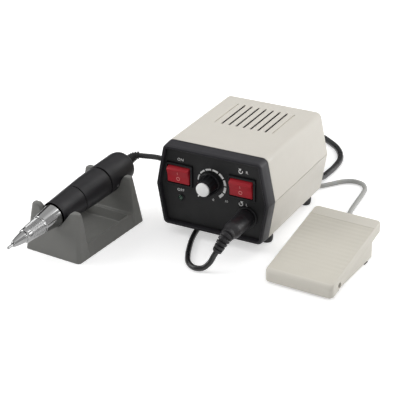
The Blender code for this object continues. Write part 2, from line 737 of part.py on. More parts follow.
def make_box_feet():
    """Rubber feet, each with a stud that presses into the lower shell."""
    top = BOX_FLOOR_Z - FIT_GAP
    profile = [
        (FOOT_BOTTOM_RADIUS, 0), (FOOT_TOP_RADIUS, top / 3), (FOOT_TOP_RADIUS, top),
        (FOOT_STUD_RADIUS, top), (FOOT_STUD_RADIUS, top + FOOT_STUD_LENGTH),
    ]
    for name, (x, y) in foot_places():
        add(name, turned(profile, SMALL_SIDES), "rubber_black", location=(x, y, 0))


def make_bezel():
    """Front frame: a section carried round the box outline, with a tongue in the shells."""
    ledge_front = BEZEL_DEPTH - PANEL_RECESS - PANEL_THICKNESS - FIT_GAP
    ledge_back = ledge_front - BEZEL_LEDGE_THICKNESS
    ledge_inset = BEZEL_OPENING_INSET + BEZEL_LEDGE
    tongue_out = BOX_WALL + FIT_GAP
    tongue_in = tongue_out + BEZEL_TONGUE_WALL
    section = [
        (0, -FIT_GAP), (BEZEL_FLARE_INSET, -BEZEL_FLARE_Y), (BEZEL_EDGE_INSET, -BEZEL_EDGE_Y),
        (BEZEL_RIM_INSET, -BEZEL_DEPTH), (BEZEL_OPENING_INSET, -BEZEL_DEPTH),
        (BEZEL_OPENING_INSET, -ledge_front), (ledge_inset, -ledge_front),
        (ledge_inset, -ledge_back), (tongue_in, -ledge_back), (tongue_in, BEZEL_TONGUE),
        (tongue_out, BEZEL_TONGUE), (tongue_out, -FIT_GAP),
    ]
    loops = [upright(box_outline(inset), y) for inset, y in section]
    add("front_bezel", skin(loops, cyclic=True), "charcoal_plastic")


def make_front_panel():
    """Flat panel with a cut-out for every control."""
    front, back = PANEL_FACE_Y, PANEL_FACE_Y + PANEL_THICKNESS
    outline = box_outline(BEZEL_OPENING_INSET + FIT_GAP)
    panel = add("front_panel", prism(outline, front, back), "panel_black")
    half_wide = ROCKER_WIDTH / 2 + ROCKER_SIDE_GAP + SWITCH_BODY_WALL + FIT_GAP
    half_high = ROCKER_SWING + SWITCH_BODY_WALL + FIT_GAP
    near, far = front - CUT_OVERRUN, back + CUT_OVERRUN
    for _, x in SWITCHES:
        low = (x - half_wide, near, SWITCH_Z - half_high)
        high = (x + half_wide, far, SWITCH_Z + half_high)
        cut(panel, block(low, high))
    holes = (
        (BUSHING_RADIUS, DIAL_X, DIAL_Z), (LAMP_RADIUS, LAMP_X, LAMP_Z),
        (SOCKET_BODY_RADIUS, SOCKET_X, SOCKET_Z),
    )
    for radius, x, z in holes:
        cut(panel, rod(radius + FIT_GAP, -far, -near, ROUND_SIDES), (x, 0, z), TO_FRONT)


def rectangle(half_wide, half_high, height):
    """Level rectangle about the origin, as a loop of four points."""
    return [
        (-half_wide, -half_high, height), (half_wide, -half_high, height),
        (half_wide, half_high, height), (-half_wide, half_high, height),
    ]


def make_switch(label, x):
    """Switch housing with its pocket, and the rocker on two pins across it."""
    flange_back = -PANEL_FACE_Y + FIT_GAP
    flange_front = flange_back + SWITCH_FLANGE_THICKNESS
    pocket_wide = ROCKER_WIDTH / 2 + ROCKER_SIDE_GAP
    body_wide, body_high = pocket_wide + SWITCH_BODY_WALL, ROCKER_SWING + SWITCH_BODY_WALL
    loops = [
        rectangle(pocket_wide, ROCKER_SWING, flange_front - SWITCH_POCKET_DEPTH),
        rectangle(pocket_wide, ROCKER_SWING, flange_front),
        rectangle(SWITCH_FLANGE_WIDTH / 2, SWITCH_FLANGE_HEIGHT / 2, flange_front),
        rectangle(SWITCH_FLANGE_WIDTH / 2, SWITCH_FLANGE_HEIGHT / 2, flange_back),
        rectangle(body_wide, body_high, flange_back),
        rectangle(body_wide, body_high, flange_back - SWITCH_BODY_DEPTH),
    ]
    housing = add(f"{label}_switch_housing", skin(loops), "switch_black",
                  location=(x, 0, SWITCH_Z), turn=TO_FRONT)
    pivot_y = -(flange_front - ROCKER_PIVOT_DEPTH)
    pin_half = pocket_wide + SWITCH_BODY_WALL / 2
    hole = rod(ROCKER_PIN_RADIUS + FIT_GAP, -pin_half - FIT_GAP, pin_half + FIT_GAP, PIN_SIDES)
    cut(housing, hole, (x, pivot_y, SWITCH_Z), TO_RIGHT)
    axis = empty(f"{label}_rocker_axis", (x, pivot_y, SWITCH_Z))
    end = ROCKER_PIVOT_DEPTH + ROCKER_END_PROUD
    middle = ROCKER_PIVOT_DEPTH + ROCKER_MIDDLE_PROUD
    half, back = ROCKER_HEIGHT / 2, ROCKER_BACK_HEIGHT / 2
    outline = [
        (-end, -half), (-middle, 0), (-end, half), (0, half), (ROCKER_BACK_DEPTH, back),
        (ROCKER_BACK_DEPTH, -back), (0, -half),
    ]
    wide = ROCKER_WIDTH / 2
    tilt = Matrix.Rotation(math.radians(ROCKER_TILT_DEG), 3, "X")
    loops = [[(side, y, z) for y, z in outline] for side in (-wide, wide)]
    rocker = add(f"{label}_rocker", skin(loops), "rocker_red", axis, turn=tilt)
    pins = rod(ROCKER_PIN_RADIUS, -pin_half, pin_half, PIN_SIDES)
    fuse(rocker, pins, turn=tilt @ TO_RIGHT, parent=axis)


def fluted(radius, height, flutes, depth):
    """Level loop whose radius dips once for each flute."""
    points = []
    for k in range(2 * flutes):
        angle = math.pi * k / flutes
        r = radius - depth * (k % 2)
        points.append((r * math.cos(angle), r * math.sin(angle), height))
    return points


def make_speed_control():
    """Potentiometer behind the panel, its shaft, and the fluted knob with a white cap."""
    place = (DIAL_X, 0, DIAL_Z)
    face, back = -PANEL_FACE_Y, -PANEL_FACE_Y - PANEL_THICKNESS
    bore = SHAFT_RADIUS + FIT_GAP
    bushing_top = face + BUSHING_PROUD
    pot_top = back - FIT_GAP
    nut_top = face + FIT_GAP + POT_NUT_THICKNESS
    pot = [
        (bore, pot_top - POT_DEPTH), (POT_RADIUS, pot_top - POT_DEPTH), (POT_RADIUS, pot_top),
        (BUSHING_RADIUS, pot_top), (BUSHING_RADIUS, face + FIT_GAP), (POT_NUT_RADIUS, face + FIT_GAP),
        (POT_NUT_RADIUS, nut_top), (BUSHING_RADIUS, nut_top), (BUSHING_RADIUS, bushing_top),
        (bore, bushing_top),
    ]
    add("potentiometer", turned(pot, ROUND_SIDES, bored=True), "steel", location=place, turn=TO_FRONT)
    axis = empty("speed_knob_axis", place, TO_FRONT)
    low = face + POT_NUT_THICKNESS + FIT_GAP + KNOB_STAND_OFF
    top = low + KNOB_HEIGHT
    hollow = POT_NUT_RADIUS + TURN_GAP
    hollow_top = bushing_top + TURN_GAP
    shaft_top = low + KNOB_BORE_DEPTH
    seat = KNOB_CAP_RADIUS + FIT_GAP

    def level(radius, height, depth=0.0):
        return fluted(radius, height, KNOB_FLUTES, depth)

    loops = [
        level(bore, shaft_top + FIT_GAP), level(bore, hollow_top), level(hollow, hollow_top),
        level(hollow, low), level(KNOB_SKIRT_RADIUS, low),
        level(KNOB_SKIRT_RADIUS, low + KNOB_SKIRT_HEIGHT),
        level(KNOB_BASE_RADIUS, low + KNOB_SKIRT_HEIGHT, KNOB_FLUTE_DEPTH),
        level(KNOB_TOP_RADIUS, top - KNOB_FLUTE_DEPTH, KNOB_FLUTE_DEPTH),
        level(seat, top), level(seat, top - KNOB_CAP_SEAT),
    ]
    add("speed_knob", skin(loops), "switch_black", axis)
    cap_low = top - KNOB_CAP_SEAT + FIT_GAP
    cap = [
        (KNOB_CAP_RADIUS, cap_low), (KNOB_CAP_RADIUS, top + KNOB_FLUTE_DEPTH),
        (KNOB_CAP_RADIUS * 2 / 3, top + KNOB_CAP_CROWN * 3 / 4), (0, top + KNOB_CAP_CROWN),
    ]
    add("knob_cap", turned([(0, cap_low)] + cap, ROUND_SIDES), "cap_white", axis)
    shaft = rod(SHAFT_RADIUS, pot_top - POT_DEPTH - POT_SHAFT_BACK, shaft_top, SMALL_SIDES)
    add("potentiometer_shaft", shaft, "steel", axis)


def make_power_lamp():
    """Round lamp with a rim on the panel and its body behind."""
    face = -PANEL_FACE_Y + FIT_GAP
    profile = [
        (0, face - LAMP_DEPTH), (LAMP_RADIUS, face - LAMP_DEPTH), (LAMP_RADIUS, face),
        (LAMP_RIM_RADIUS, face), (LAMP_RIM_RADIUS, face + LAMP_RIM), (LAMP_RADIUS, face + LAMP_RIM),
        (LAMP_RADIUS * 2 / 3, face + LAMP_PROUD), (0, face + LAMP_PROUD + LAMP_RIM / 2),
    ]
    add("power_lamp", turned(profile, SMALL_SIDES), "lamp_green",
        location=(LAMP_X, 0, LAMP_Z), turn=TO_FRONT)


def make_output_socket():
    """Round chassis socket: flange on the panel, barrel behind it, open bore."""
    face = -PANEL_FACE_Y + FIT_GAP
    front = face + SOCKET_FLANGE_THICKNESS
    bottom = front - SOCKET_BORE_DEPTH
    profile = [
        (0, bottom), (SOCKET_BORE_RADIUS, bottom), (SOCKET_BORE_RADIUS, front),
        (SOCKET_FLANGE_RADIUS, front), (SOCKET_FLANGE_RADIUS, face), (SOCKET_BODY_RADIUS, face),
        (SOCKET_BODY_RADIUS, face - SOCKET_BODY_DEPTH), (0, face - SOCKET_BODY_DEPTH),
    ]
    add("output_socket", turned(profile, ROUND_SIDES), "switch_black",
        location=(SOCKET_X, 0, SOCKET_Z), turn=TO_FRONT)


def smooth_path(points, samples, before, after):
    """Evenly spaced points on a smooth curve through the given ones (centripetal Catmull-Rom).

    The points before and after give the curve its direction at its ends.
    """
    given = np.vstack([before, points, after])
    dense = []
    for k in range(1, len(given) - 2):
        p0, p1, p2, p3 = given[k - 1:k + 3]
        t0 = 0.0
        t1 = t0 + math.sqrt(np.linalg.norm(p1 - p0))
        t2 = t1 + math.sqrt(np.linalg.norm(p2 - p1))
        t3 = t2 + math.sqrt(np.linalg.norm(p3 - p2))
        for t in np.linspace(t1, t2, CURVE_SAMPLES, endpoint=False):
            a1 = (t1 - t) / (t1 - t0) * p0 + (t - t0) / (t1 - t0) * p1
            a2 = (t2 - t) / (t2 - t1) * p1 + (t - t1) / (t2 - t1) * p2
            a3 = (t3 - t) / (t3 - t2) * p2 + (t - t2) / (t3 - t2) * p3
            b1 = (t2 - t) / (t2 - t0) * a1 + (t - t0) / (t2 - t0) * a2
            b2 = (t3 - t) / (t3 - t1) * a2 + (t - t1) / (t3 - t1) * a3
            dense.append((t2 - t) / (t2 - t1) * b1 + (t - t1) / (t2 - t1) * b2)
    dense = np.array(dense + [given[-2]])
    along = np.concatenate([[0], np.cumsum(np.linalg.norm(np.diff(dense, axis=0), axis=1))])
    wanted = np.linspace(0, along[-1], samples)
    return np.stack([np.interp(wanted, along, dense[:, axis]) for axis in range(3)], axis=1)


def tube_loops(path, radii, sides):
    """Level rings carried along a path without twist, one radius for each point."""
    path = np.array(path, dtype=float)
    tangents = np.gradient(path, axis=0)
    tangents /= np.linalg.norm(tangents, axis=1)[:, None]
    side = np.cross(tangents[0], (0, 0, 1))
    if np.linalg.norm(side) < PARALLEL_LIMIT:
        side = np.array((1.0, 0, 0))
    loops = []
    for point, tangent, radius in zip(path, tangents, radii):
        side = side - tangent * side.dot(tangent)
        side /= np.linalg.norm(side)
        other = np.cross(tangent, side)
        loops.append([
            tuple(point + radius * (side * math.cos(a) + other * math.sin(a)))
            for a in (2 * math.pi * k / sides for k in range(sides))
        ])
    return loops


def ribbed_radii(count, start, end, rib):
    """Radii that taper from start to end, with every second ring drawn in by a rib's depth."""
    shares = [k / (count - 1) for k in range(count)]
    return [start + (end - start) * s - rib * (k % 2) for k, s in enumerate(shares)]


def bent(start, heading, end, end_heading, samples):
    """Points on a smooth bend that leaves and arrives along the given directions."""
    p0, p3 = np.array(start, dtype=float), np.array(end, dtype=float)
    reach = np.linalg.norm(p3 - p0) * BEND_REACH_SHARE
    p1 = p0 + reach * np.array(Vector(heading).normalized())
    p2 = p3 - reach * np.array(Vector(end_heading).normalized())
    t = np.linspace(0, 1, samples)[:, None]
    return (1 - t) ** 3 * p0 + 3 * (1 - t) ** 2 * t * p1 + 3 * (1 - t) * t ** 2 * p2 + t ** 3 * p3


def make_output_plug():
    """Moulded plug in the output socket; its ribbed relief bends down to the table."""
    front = -PANEL_FACE_Y + FIT_GAP + SOCKET_FLANGE_THICKNESS
    body_start = front + FIT_GAP
    body_end = body_start + PLUG_BODY_LENGTH
    straight = [
        (PLUG_SHELL_RADIUS, body_start - PLUG_SHELL_LENGTH), (PLUG_SHELL_RADIUS, body_start),
        (PLUG_BODY_RADIUS, body_start), (PLUG_BODY_RADIUS, body_end),
        (PLUG_RELIEF_RADIUS, body_end + PLUG_SHOULDER / 2),
    ]
    neck = (SOCKET_X, -(body_end + PLUG_SHOULDER), SOCKET_Z)
    bend = bent(neck, (0, -1, 0), PLUG_TIP, PLUG_TIP_HEADING, PLUG_RIB_RINGS)
    radii = ribbed_radii(PLUG_RIB_RINGS, PLUG_RELIEF_RADIUS, PLUG_RELIEF_TIP_RADIUS, PLUG_RIB_DEPTH)
    path = [(SOCKET_X, -along, SOCKET_Z) for _, along in straight]
    loops = ring_run(path, [r for r, _ in straight], (0, -1, 0), SMALL_SIDES)
    loops += tube_loops(bend, radii, SMALL_SIDES)
    add("output_plug", skin(loops), "rubber_black")


def ring_run(path, radii, heading, sides):
    """Rings square to one heading, in the same turn as tube_loops starts with."""
    heading = np.array(heading, dtype=float)
    side = np.cross(heading, (0, 0, 1))
    side /= np.linalg.norm(side)
    other = np.cross(heading, side)
    return [
        [tuple(np.array(p) + r * (side * math.cos(a) + other * math.sin(a)))
         for a in (2 * math.pi * k / sides for k in range(sides))]
        for p, r in zip(path, radii)
    ]


def make_rear_panel():
    """Rear panel inside the lip of the shells, with a hole for each fitting."""
    back = BOX_DEPTH - BOX_WALL - FIT_GAP
    front = back - REAR_PANEL_THICKNESS
    panel = add("rear_panel", prism(box_outline(BOX_WALL + FIT_GAP), front, back), "charcoal_plastic")
    holes = (
        (GLAND_NECK_RADIUS, GLAND_X, GLAND_Z), (JACK_THREAD_RADIUS, JACK_X, JACK_Z),
        (FUSE_THREAD_RADIUS, FUSE_X, FUSE_Z),
    )
    for radius, x, z in holes:
        hole = rod(radius + FIT_GAP, front - CUT_OVERRUN, back + CUT_OVERRUN, ROUND_SIDES)
        cut(panel, hole, (x, 0, z), TO_REAR)


def make_rear_fittings():
    """Cord gland, foot switch jack and fuse holder on the rear panel."""
    outside = BOX_DEPTH - BOX_WALL
    inside = outside - FIT_GAP - REAR_PANEL_THICKNESS
    flange = outside + GLAND_FLANGE_THICKNESS
    seat = inside - FIT_GAP
    straight = [
        (GLAND_FLANGE_RADIUS, seat - GLAND_FLANGE_THICKNESS), (GLAND_FLANGE_RADIUS, seat),
        (GLAND_NECK_RADIUS, seat), (GLAND_NECK_RADIUS, outside), (GLAND_FLANGE_RADIUS, outside),
        (GLAND_FLANGE_RADIUS, flange), (GLAND_TAIL_RADIUS, flange + GLAND_FLANGE_THICKNESS / 2),
    ]
    path = [(GLAND_X, along, GLAND_Z) for _, along in straight]
    neck = (GLAND_X, flange + GLAND_FLANGE_THICKNESS, GLAND_Z)
    bend = bent(neck, (0, 1, 0), GLAND_TIP, GLAND_TIP_HEADING, GLAND_RIB_RINGS)
    radii = ribbed_radii(GLAND_RIB_RINGS, GLAND_TAIL_RADIUS, GLAND_TIP_RADIUS, GLAND_RIB_DEPTH)
    loops = ring_run(path, [r for r, _ in straight], (0, 1, 0), SMALL_SIDES)
    loops += tube_loops(bend, radii, SMALL_SIDES)
    add("mains_relief", skin(loops), "rubber_black")

    nut_back = outside + JACK_NUT_THICKNESS
    jack = [
        (0, nut_back - JACK_BORE_DEPTH), (JACK_BORE_RADIUS, nut_back - JACK_BORE_DEPTH),
        (JACK_BORE_RADIUS, nut_back), (JACK_NUT_RADIUS, nut_back), (JACK_NUT_RADIUS, outside),
        (JACK_THREAD_RADIUS, outside), (JACK_THREAD_RADIUS, seat), (JACK_BODY_RADIUS, seat),
        (JACK_BODY_RADIUS, seat - JACK_BODY_DEPTH), (0, seat - JACK_BODY_DEPTH),
    ]
    add("pedal_jack", turned(jack, SMALL_SIDES), "steel", location=(JACK_X, 0, JACK_Z), turn=TO_REAR)

    cap_back = outside + FUSE_CAP_HEIGHT
    profile = [
        (0, cap_back), (FUSE_CAP_RADIUS * 4 / 5, cap_back), (FUSE_CAP_RADIUS, cap_back - FUSE_SLOT_DEPTH),
        (FUSE_CAP_RADIUS, outside), (FUSE_THREAD_RADIUS, outside),
        (FUSE_THREAD_RADIUS, inside - FUSE_BODY_DEPTH), (0, inside - FUSE_BODY_DEPTH),
    ]
    holder = add("fuse_holder", turned(profile, SMALL_SIDES), "switch_black",
                 location=(FUSE_X, 0, FUSE_Z), turn=TO_REAR)
    half = FUSE_SLOT_WIDTH / 2
    slot = block((FUSE_X - FUSE_CAP_RADIUS, cap_back - FUSE_SLOT_DEPTH, FUSE_Z - half),
                 (FUSE_X + FUSE_CAP_RADIUS, cap_back + CUT_OVERRUN, FUSE_Z + half))
    cut(holder, slot)


def make_transformer():
    """Laminated core with two windows, and the winding round its middle leg."""
    bottom = BOX_FLOOR_Z + BOX_WALL + FIT_GAP
    half, stack, leg = CORE_WIDTH / 2, CORE_STACK / 2, CORE_LEG
    low = (CORE_X - half, CORE_Y - stack, bottom)
    high = (CORE_X + half, CORE_Y + stack, bottom + CORE_HEIGHT)
    core = add("transformer_core", block(low, high), "steel")
    window_low, window_high = bottom + leg, bottom + CORE_HEIGHT - leg
    for side in (-1, 1):
        inner, outer = sorted((CORE_X + side * leg, CORE_X + side * (half - leg)))
        near, far = low[1] - CUT_OVERRUN, high[1] + CUT_OVERRUN
        cut(core, block((inner, near, window_low), (outer, far, window_high)))
    middle = (window_low + window_high) / 2
    rise = (window_high - window_low) / 2 - FIT_GAP
    outer_wide, outer_long = half - leg - FIT_GAP, stack + WINDING_BULGE
    inner_wide, inner_long = leg + FIT_GAP, stack + FIT_GAP
    loops = [
        rectangle(outer_wide, outer_long, -rise), rectangle(outer_wide, outer_long, rise),
        rectangle(inner_wide, inner_long, rise), rectangle(inner_wide, inner_long, -rise),
    ]
    add("transformer_winding", skin(loops, cyclic=True), "copper_winding",
        location=(CORE_X, CORE_Y, middle))


def make_circuit_board():
    """Speed control board on its posts, with capacitor and finned heat sink soldered on."""
    bottom = BOX_FLOOR_Z + BOX_WALL + BOARD_POST_HEIGHT + FIT_GAP
    top = bottom + BOARD_THICKNESS
    wide, long = BOARD_WIDTH / 2, BOARD_LENGTH / 2
    board = add("circuit_board", block((-wide, -long, bottom), (wide, long, top)), "board_green",
                location=(BOARD_X, BOARD_Y, 0))
    seat = top - BOARD_THICKNESS / 2
    capacitor_y = BOARD_Y - long + CAPACITOR_RADIUS + BOARD_POST_INSET
    can = rod(CAPACITOR_RADIUS, seat, top + CAPACITOR_HEIGHT, SMALL_SIDES)
    fuse(board, can, (BOARD_X, capacitor_y, 0))
    sink_y = BOARD_Y + long - SINK_DEPTH - BOARD_POST_INSET
    pitch = (SINK_WIDTH - SINK_FIN) / (SINK_FINS - 1)
    comb = []
    for fin in range(SINK_FINS):
        left = -SINK_WIDTH / 2 + fin * pitch
        comb += [(left, SINK_DEPTH), (left + SINK_FIN, SINK_DEPTH)]
        if fin < SINK_FINS - 1:
            comb += [(left + SINK_FIN, SINK_FIN), (left + pitch, SINK_FIN)]
    comb += [(SINK_WIDTH / 2, 0), (-SINK_WIDTH / 2, 0)]
    loops = [[(x, y, z) for x, y in comb] for z in (seat, top + SINK_HEIGHT)]
    fuse(board, skin(loops), (BOARD_X, sink_y, 0))


def sleeve_profile():
    """(radius, distance) pairs of the black and chrome outside, front to rear."""
    shoulder = REAR_SLEEVE_BACK - SLEEVE_REAR_SHOULDER
    third = SLEEVE_REAR_SHOULDER / 3
    return [
        (GRIP_FRONT_RADIUS, GRIP_FRONT), (TAPER_FRONT_RADIUS, GRIP_BACK), (TAPER_BACK_RADIUS, TAPER_BACK),
        (SLEEVE_FRONT_RADIUS, FRONT_SLEEVE_FRONT), (SLEEVE_RING_1_RADIUS, FRONT_SLEEVE_BACK),
        (SLEEVE_RING_2_RADIUS, CHUCK_SLEEVE_BACK), (SLEEVE_REAR_RADIUS, REAR_SLEEVE_FRONT),
        (SLEEVE_REAR_RADIUS, shoulder), (SLEEVE_REAR_RADIUS - third / 3, shoulder + third),
        (SLEEVE_REAR_RADIUS - third, shoulder + 2 * third),
        (SLEEVE_REAR_RADIUS - 2 * third, REAR_SLEEVE_BACK),
    ]


def end_wall_outline(height, saddle_radius, saddle_z):
    """Outline of a cradle end wall in (u, z): two horns either side of a notch."""
    half = CRADLE_WIDTH / 2
    tip_out = half - CRADLE_HORN_INSET
    foot_z = saddle_z - saddle_radius + CRADLE_SADDLE_BITE
    corners = [
        (-half, 0), (half, 0), (tip_out, height), (CRADLE_NOTCH_HALF, height),
        (CRADLE_NOTCH_FOOT_HALF, foot_z), (-CRADLE_NOTCH_FOOT_HALF, foot_z), (-CRADLE_NOTCH_HALF, height),
        (-tip_out, height),
    ]
    horn = CRADLE_HORN_RADIUS
    outline = rounded(corners, [0, 0, horn, horn, horn, horn, horn, horn])
    return [(half + u, z) for u, z in outline]


def make_cradle():
    """One moulding: a low tray with a horned saddle wall at each end."""
    frame = empty("cradle_frame", (CRADLE_CORNER_X, CRADLE_CORNER_Y, 0),
                  Matrix.Rotation(math.radians(CRADLE_YAW_DEG), 3, "Z"))
    wide, long, draft = CRADLE_WIDTH, CRADLE_LENGTH, CRADLE_SIDE_DRAFT

    def level(inset, height):
        return [(inset, inset, height), (wide - inset, inset, height),
                (wide - inset, long - inset, height), (inset, long - inset, height)]

    rim = CRADLE_RIM + draft
    tray = [level(0, 0), level(draft, CRADLE_SIDE_HEIGHT), level(rim, CRADLE_SIDE_HEIGHT),
            level(rim + draft * 2, CRADLE_FLOOR)]
    cradle = add("cradle", skin(tray), "cradle_grey", frame)
    near_share = (CRADLE_END_FOOT - FRONT_SLEEVE_FRONT) / (FRONT_SLEEVE_BACK - FRONT_SLEEVE_FRONT)
    near_widest = SLEEVE_FRONT_RADIUS + (SLEEVE_RING_1_RADIUS - SLEEVE_FRONT_RADIUS) * near_share
    walls = (
        (CRADLE_NEAR_HEIGHT, 0, 1, SLEEVE_FRONT_RADIUS, near_widest),
        (CRADLE_FAR_HEIGHT, long, -1, SLEEVE_REAR_RADIUS, SLEEVE_REAR_RADIUS),
    )
    handpiece = empty("handpiece_frame", (wide / 2, 0, HANDPIECE_HEIGHT),
                      Matrix.Rotation(HANDPIECE_RISE - math.pi / 2, 3, "X"), frame)
    slots = []
    for height, edge, inward, radius, widest in walls:
        middle_v = edge + inward * CRADLE_END_FOOT / 2
        axis_z = HANDPIECE_HEIGHT + middle_v * math.tan(HANDPIECE_RISE)
        outline = end_wall_outline(height, radius, axis_z)
        loops = []
        for foot, top in ((0, CRADLE_END_LEAN), (CRADLE_END_FOOT, CRADLE_END_LEAN + CRADLE_END_TOP)):
            loops.append([(u, edge + inward * (foot + (top - foot) * z / height), z) for u, z in outline])
        fuse(cradle, skin(loops), parent=frame)
        half = widest + FIT_GAP
        near, far = sorted((edge, edge + inward * CRADLE_END_FOOT))
        slots.append(((wide / 2 - half, near - CUT_OVERRUN, axis_z),
                      (wide / 2 + half, far + CUT_OVERRUN, height + CUT_OVERRUN)))
    envelope = [(r + FIT_GAP, t) for r, t in sleeve_profile()]
    envelope = [(envelope[0][0], envelope[0][1] - CUT_OVERRUN)] + envelope
    cut(cradle, turned(envelope, SLEEVE_SIDES), parent=handpiece)
    for low, high in slots:
        cut(cradle, block(low, high), parent=frame)
    return handpiece


def make_handpiece(frame):
    """Handpiece on its own axis: casings, motor, spindle, collet and the pin in it."""
    motor_out = SLEEVE_RING_1_RADIUS - SLEEVE_WALL
    chuck_in = motor_out + TURN_GAP / 2
    rear = sleeve_profile()[6:]
    boot_hole = BOOT_NECK_RADIUS + FIT_GAP
    rear_inside = REAR_SLEEVE_BACK - SLEEVE_REAR_WALL
    rear_in = motor_out + FIT_GAP
    rear_loop = rear + [
        (boot_hole, REAR_SLEEVE_BACK), (boot_hole, rear_inside), (rear_in, rear_inside - SLEEVE_WALL),
        (rear_in, REAR_SLEEVE_FRONT),
    ]
    add("rear_sleeve", turned(rear_loop, SLEEVE_SIDES, bored=True), "handpiece_black", frame)

    chuck_axis = empty("chuck_axis", (0, 0, 0), parent=frame)
    middle = (CHUCK_SLEEVE_FRONT + CHUCK_SLEEVE_BACK) / 2
    bulge = (SLEEVE_RING_1_RADIUS + SLEEVE_RING_2_RADIUS) / 2 + FIT_GAP
    chuck = [
        (SLEEVE_RING_1_RADIUS, CHUCK_SLEEVE_FRONT), (bulge, middle),
        (SLEEVE_RING_2_RADIUS, CHUCK_SLEEVE_BACK), (chuck_in, CHUCK_SLEEVE_BACK),
        (chuck_in, CHUCK_SLEEVE_FRONT),
    ]
    add("chuck_sleeve", turned(chuck, SLEEVE_SIDES, bored=True), "handpiece_black", chuck_axis)

    front_in = TAPER_BACK_RADIUS - SLEEVE_WALL / 2 + FIT_GAP
    can_in = motor_out - MOTOR_CAN_WALL
    nose_of_can = MOTOR_FRONT - SPIGOT_LENGTH
    front = [
        (SLEEVE_FRONT_RADIUS, FRONT_SLEEVE_FRONT), (SLEEVE_RING_1_RADIUS, FRONT_SLEEVE_BACK),
        (motor_out + FIT_GAP, FRONT_SLEEVE_BACK), (motor_out + FIT_GAP, nose_of_can - FIT_GAP),
        (front_in, nose_of_can - FIT_GAP), (front_in, FRONT_SLEEVE_FRONT),
    ]
    add("front_sleeve", turned(front, SLEEVE_SIDES, bored=True), "handpiece_black", frame)

    bearing_in = BEARING_RADIUS + FIT_GAP
    spigot = front_in - FIT_GAP
    spigot_back = FRONT_SLEEVE_FRONT + SPIGOT_LENGTH
    shaft_clear = SPINDLE_RADIUS + TURN_GAP
    bearing_front = FRONT_BEARING_AT - FIT_GAP
    taper = [
        (TAPER_FRONT_RADIUS, GRIP_BACK + FIT_GAP), (TAPER_BACK_RADIUS, TAPER_BACK), (spigot, TAPER_BACK),
        (spigot, spigot_back), (bearing_in, spigot_back), (bearing_in, bearing_front),
        (shaft_clear, bearing_front), (shaft_clear, GRIP_BACK + FIT_GAP),
    ]
    add("taper_sleeve", turned(taper, SLEEVE_SIDES, bored=True), "chrome", frame)

    nose_in = NOSE_BACK_RADIUS + FIT_GAP
    nose_seat = NOSE_BACK + SPIGOT_LENGTH
    ribs = []
    steps = 2 * GRIP_RIBS
    for k in range(steps + 1):
        share = k / steps
        radius = GRIP_FRONT_RADIUS + (GRIP_BACK_RADIUS - GRIP_FRONT_RADIUS) * share
        ribs.append((radius - GRIP_RIB_DEPTH * (k % 2), GRIP_FRONT + (GRIP_BACK - GRIP_FRONT) * share))
    grip = ribs + [
        (shaft_clear, GRIP_BACK), (shaft_clear, nose_seat + FIT_GAP), (nose_in, nose_seat + FIT_GAP),
        (nose_in, GRIP_FRONT),
    ]
    add("grip_ring", turned(grip, SLEEVE_SIDES, bored=True), "chrome", frame)

    collet_clear = COLLET_RADIUS + FIT_GAP
    pin_clear = PIN_RADIUS + FIT_GAP
    nose_middle = (NOSE_TIP * 2 + NOSE_BACK) / 3
    nose = [
        (NOSE_TIP_RADIUS, NOSE_TIP), (NOSE_MIDDLE_RADIUS, nose_middle), (NOSE_BACK_RADIUS, NOSE_BACK),
        (NOSE_BACK_RADIUS, nose_seat), (collet_clear, nose_seat), (collet_clear, COLLET_FRONT - FIT_GAP),
        (pin_clear, COLLET_FRONT - FIT_GAP), (pin_clear, NOSE_TIP),
    ]
    add("nose_cone", turned(nose, ROUND_SIDES, bored=True), "chrome", frame)

    spin = empty("spindle_axis", (0, 0, 0), parent=frame)
    collet = [(COLLET_RADIUS, COLLET_FRONT), (COLLET_RADIUS, SPINDLE_FRONT - FIT_GAP),
              (pin_clear, SPINDLE_FRONT - FIT_GAP), (pin_clear, COLLET_FRONT)]
    add("collet", turned(collet, SMALL_SIDES, bored=True), "steel", spin)
    spindle_back = MOTOR_BACK + BRUSH_PLATE_WIDTH
    add("spindle", rod(SPINDLE_RADIUS, SPINDLE_FRONT, spindle_back, SMALL_SIDES), "steel", spin)
    armature_loops = []
    for inner in (ARMATURE_RADIUS, SPINDLE_RADIUS + FIT_GAP):
        for at in (ARMATURE_FRONT, ARMATURE_BACK):
            depth = ARMATURE_SLOT_DEPTH if inner == ARMATURE_RADIUS else 0
            armature_loops.append(fluted(inner, at, ARMATURE_SLOTS, depth))
    outer_front, outer_back, inner_front, inner_back = armature_loops
    around = [outer_front, outer_back, inner_back, inner_front]
    add("armature", skin(around, cyclic=True), "copper_winding", spin)

    pin_slide = empty("tool_pin_slide", (0, 0, 0), parent=spin)
    pin_back = SPINDLE_FRONT - TURN_GAP
    pin = [
        (0, PIN_TIP), (PIN_RADIUS / 2, PIN_TIP), (PIN_RADIUS, PIN_TIP + PIN_RADIUS / 2),
        (PIN_RADIUS, pin_back), (0, pin_back),
    ]
    add("tool_pin", turned(pin, SMALL_SIDES), "steel", pin_slide)

    magnet_in = ARMATURE_RADIUS + TURN_GAP
    can_front = MOTOR_FRONT - SPIGOT_LENGTH
    can = [
        (motor_out, can_front), (motor_out, MOTOR_BACK), (can_in, MOTOR_BACK), (can_in, ARMATURE_BACK),
        (magnet_in, ARMATURE_BACK), (magnet_in, ARMATURE_FRONT), (can_in, ARMATURE_FRONT),
        (can_in, can_front),
    ]
    add("motor_can", turned(can, SLEEVE_SIDES, bored=True), "magnet_dark", frame)

